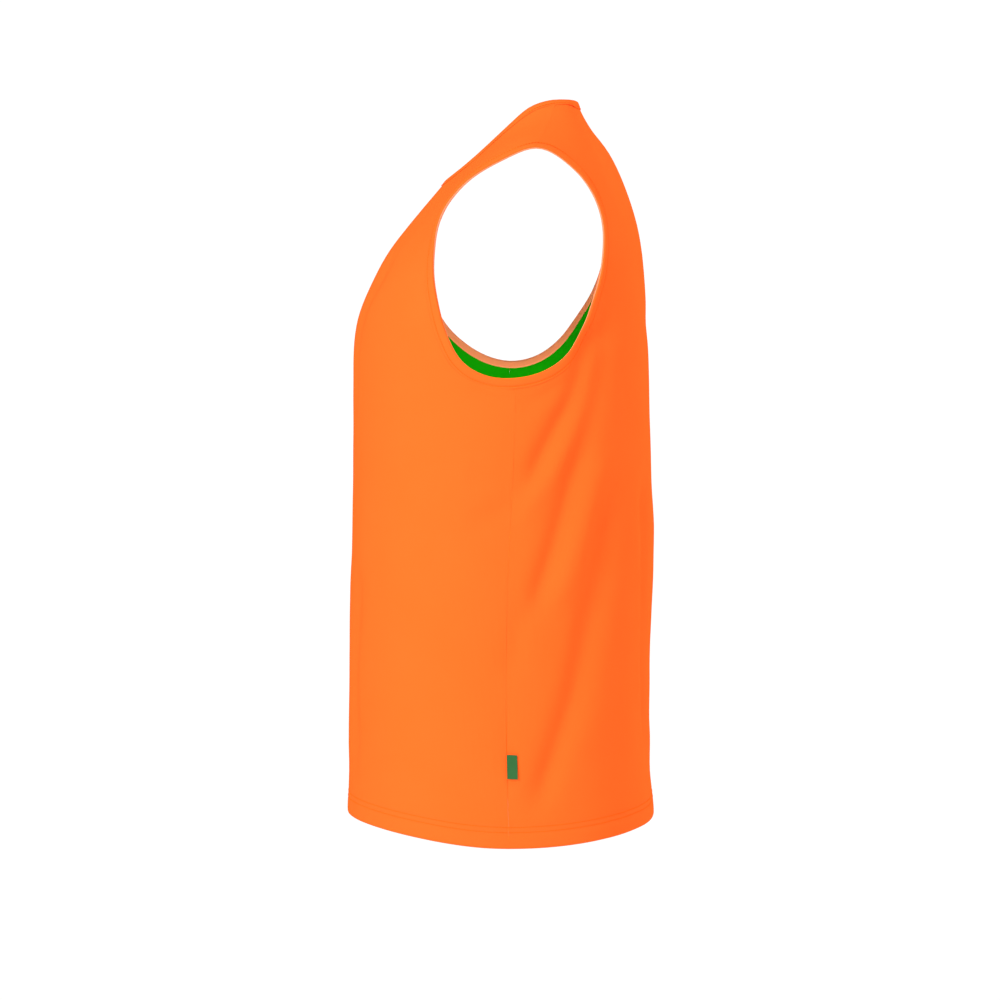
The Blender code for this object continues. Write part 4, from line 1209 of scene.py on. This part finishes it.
class Nodes:
    """Short calls for the nodes of one material."""

    def __init__(self, name, roughness, sheen=0.0):
        self.material = bpy.data.materials.new(name)
        self.material.use_nodes = True
        self.tree = self.material.node_tree
        self.shader = self.tree.nodes["Principled BSDF"]
        self.shader.inputs["Roughness"].default_value = roughness
        self.shader.inputs["Specular IOR Level"].default_value = sheen

    def node(self, kind, values=None, **settings):
        """A new node; each of the values is a number, a colour or a socket to link."""
        made = self.tree.nodes.new(kind)
        for key, value in settings.items():
            setattr(made, key, value)
        for key, value in (values or {}).items():
            if isinstance(value, bpy.types.NodeSocket):
                self.tree.links.new(value, made.inputs[key])
            else:
                made.inputs[key].default_value = value
        return made

    def math(self, operation, *values):
        """The result of one sum."""
        return self.node("ShaderNodeMath", dict(enumerate(values)), operation=operation).outputs[0]

    def cloth_places(self):
        """The cloth's own two directions, across and along, in metres."""
        places = self.node("ShaderNodeUVMap", uv_map="cloth").outputs[0]
        return self.node("ShaderNodeSeparateXYZ", {0: places}).outputs[:2]

    def weave(self, height, strength, depth, tone, colour, other):
        """Threads that stand up by their height, in a colour that tone takes to the other."""
        values = {"Strength": strength, "Distance": depth, "Height": height}
        bump = self.node("ShaderNodeBump", values)
        self.tree.links.new(bump.outputs[0], self.shader.inputs["Normal"])
        mixed = self.node("ShaderNodeMix", {0: tone, 6: colour, 7: other}, data_type="RGBA")
        self.tree.links.new(mixed.outputs[2], self.shader.inputs["Base Color"])


def dome(nodes, ramp):
    """A rounded bump from 0 to 1 and back as the ramp goes from one whole number to the next."""
    swing = nodes.math("PINGPONG", ramp, 0.5)
    low = nodes.math("MULTIPLY_ADD", swing, 2.0, -1.0)
    return nodes.math("SUBTRACT", 1.0, nodes.math("MULTIPLY", low, low)), swing


def knit(name, colour, shade):
    """Fine weft knit: columns of V stitches, with painted shade in their hollows and a faint
    unevenness of colour.
    """
    nodes = Nodes(name, KNIT_ROUGHNESS)
    across, along = nodes.cloth_places()
    wale, swing = dome(nodes, nodes.math("DIVIDE", across, WALE))
    course = dome(nodes, nodes.math("ADD", nodes.math("DIVIDE", along, COURSE), swing))[0]
    height = nodes.math("MULTIPLY", wale, nodes.math("MULTIPLY_ADD", course, 0.5, 0.5))
    at = nodes.node("ShaderNodeTexCoord").outputs["Object"]
    blotches = nodes.node(
        "ShaderNodeTexNoise", {"Vector": at, "Scale": BLOTCH_SCALE, "Detail": BLOTCH_DETAIL}
    )
    # painted shade: the darker colour is mixed into the hollows between the stitches
    painted_hollow_shade = nodes.math("MULTIPLY_ADD", height, -PAINTED_SHADE_IN_KNIT_HOLLOWS, PAINTED_SHADE_IN_KNIT_HOLLOWS)
    tone = nodes.math("MULTIPLY_ADD", blotches.outputs["Fac"], DARK_TONE_IN_BLOTCH, painted_hollow_shade)
    nodes.weave(height, KNIT_STRENGTH, KNIT_DEPTH, tone, colour, shade)
    return nodes.material


def woven_label():
    """Plain woven cloth with fine ribs across the label, and painted shade between the ribs."""
    nodes = Nodes("label_weave", WOVEN_ROUGHNESS, WOVEN_SHEEN)
    rib = dome(nodes, nodes.math("DIVIDE", nodes.cloth_places()[1], RIB))[0]
    # painted shade: the darker green lies between the ribs, the lighter green on them
    nodes.weave(rib, RIB_STRENGTH, RIB_DEPTH, rib, WOVEN_PAINTED_SHADE, WOVEN_GREEN)
    return nodes.material


def plain(name, colour, roughness):
    """A matt material of one colour."""
    nodes = Nodes(name, roughness)
    nodes.shader.inputs["Base Color"].default_value = colour
    return nodes.material


# ---- the picture ------------

def aim(item, at, target):
    """Put a lamp or camera at a point, facing another."""
    item.location = at
    item.rotation_euler = (Vector(target) - Vector(at)).to_track_quat("-Z", "Y").to_euler()
    bpy.context.scene.collection.objects.link(item)


def seen_or_lit(tree, seen, lit):
    """A factor that is 1 for what the camera sees, mixed between the two shaders' outputs."""
    path = tree.nodes.new("ShaderNodeLightPath")
    mixed = tree.nodes.new("ShaderNodeMixShader")
    tree.links.new(path.outputs["Is Camera Ray"], mixed.inputs[0])
    tree.links.new(lit.outputs[0], mixed.inputs[1])
    tree.links.new(seen.outputs[0], mixed.inputs[2])
    output = next(node for node in tree.nodes if node.type.startswith("OUTPUT"))
    tree.links.new(mixed.outputs[0], output.inputs["Surface"])


def white_light(tree, kind, strength):
    """A shader of plain white light."""
    made = tree.nodes.new(kind)
    made.inputs["Color"].default_value = (1.0, 1.0, 1.0, 1.0)
    made.inputs["Strength"].default_value = strength
    return made


def studio():
    """The floor, the sky, the lamps and the camera: all white, and even as the camera sees it."""
    half = FLOOR_SIZE / 2
    corners = [(-half, -half, FLOOR_HEIGHT), (half, -half, FLOOR_HEIGHT),
               (half, half, FLOOR_HEIGHT), (-half, half, FLOOR_HEIGHT)]
    white = plain("floor_white", FLOOR_COLOUR, FLOOR_ROUGHNESS)
    tree = white.node_tree
    seen = white_light(tree, "ShaderNodeEmission", FLOOR_SEEN)
    seen_or_lit(tree, seen, tree.nodes["Principled BSDF"])
    add_mesh("floor", corners, [(0, 1, 2, 3)], [white])

    world = bpy.data.worlds.new("studio")
    world.use_nodes = True
    tree = world.node_tree
    sky = white_light(tree, "ShaderNodeBackground", SKY)
    seen_or_lit(tree, white_light(tree, "ShaderNodeBackground", SKY_SEEN), sky)
    world.cycles_visibility.glossy = False
    bpy.context.scene.world = world

    for name, at, power in LAMPS:
        lamp = bpy.data.lights.new(name, "AREA")
        lamp.energy = power
        lamp.size = LAMP_SIZE
        aim(bpy.data.objects.new(name, lamp), at, CAMERA_AIM)
    lamp = bpy.data.lights.new("inside", "POINT")
    lamp.energy = INSIDE_POWER
    lamp.shadow_soft_size = INSIDE_SIZE
    aim(bpy.data.objects.new("inside", lamp), INSIDE_AT, CAMERA_AIM)

    lens = bpy.data.cameras.new("camera")
    lens.lens = CAMERA_LENS
    lens.sensor_width = CAMERA_SENSOR
    lens.clip_end = CAMERA_REACH
    camera = bpy.data.objects.new("camera", lens)
    aim(camera, CAMERA_AT, CAMERA_AIM)
    bpy.context.scene.camera = camera
    bpy.context.scene.view_settings.view_transform = "Standard"


# ---- the bib ----------------

def place(piece, slot, node=None, with_pieces=()):
    """Give a piece its body, and hide the solid that it stands for."""
    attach(piece, "root")
    if node is not None:
        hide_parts(node)


def bib():
    """All the pieces of the bib."""
    orange = knit("outer_knit", ORANGE, ORANGE_PAINTED_SHADE_AND_BLOTCH)
    green = knit("inner_knit", GREEN, GREEN_PAINTED_SHADE_AND_BLOTCH)
    salmon = knit("band_inside_knit", SALMON, SALMON_PAINTED_SHADE_AND_BLOTCH)
    thread = plain("thread", THREAD, THREAD_ROUGHNESS)
    points, normals, armpit_row, corner = panels()

    hem_lines = [hem_ring(points, normals, row) for row in HEM_STITCHED]
    hem_sewing = stitches("bib_hem_stitches", hem_lines, thread)
    place(hem_sewing, "front_knit")
    for name in ("front", "back"):
        for node, depth, knitted in ((name, 0.0, orange), ("inner_" + name, INNER_DEPTH, green)):
            made = panel_sheet(
                "bib_" + node, points[name], normals[name], armpit_row, depth, [knitted]
            )
            place(made, node + "_knit", node, [hem_sewing] if node == "front" else [])

    rings = {
        "armhole_band_left": armhole_stations(points, normals, armpit_row, left=True),
        "armhole_band_right": armhole_stations(points, normals, armpit_row, left=False),
        "neck_band": neck_stations(points, normals, corner),
    }
    for name, stations in rings.items():
        sewing = stitches("bib_" + name + "_stitches", [band_ring(stations)], thread)
        place(sewing, name + "_knit")
        made = band("bib_" + name, stations, [orange, salmon])
        place(made, name + "_knit", name, [sewing])

    place(side_label(points, normals, armpit_row, woven_label()), "side_label_weave", "side_label")


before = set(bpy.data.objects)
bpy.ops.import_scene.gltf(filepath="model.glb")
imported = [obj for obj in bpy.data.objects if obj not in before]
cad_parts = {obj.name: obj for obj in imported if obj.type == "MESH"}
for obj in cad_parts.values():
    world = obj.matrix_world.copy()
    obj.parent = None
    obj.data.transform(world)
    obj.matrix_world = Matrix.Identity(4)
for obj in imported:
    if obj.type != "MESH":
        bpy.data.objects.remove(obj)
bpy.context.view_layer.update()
bib()
studio()
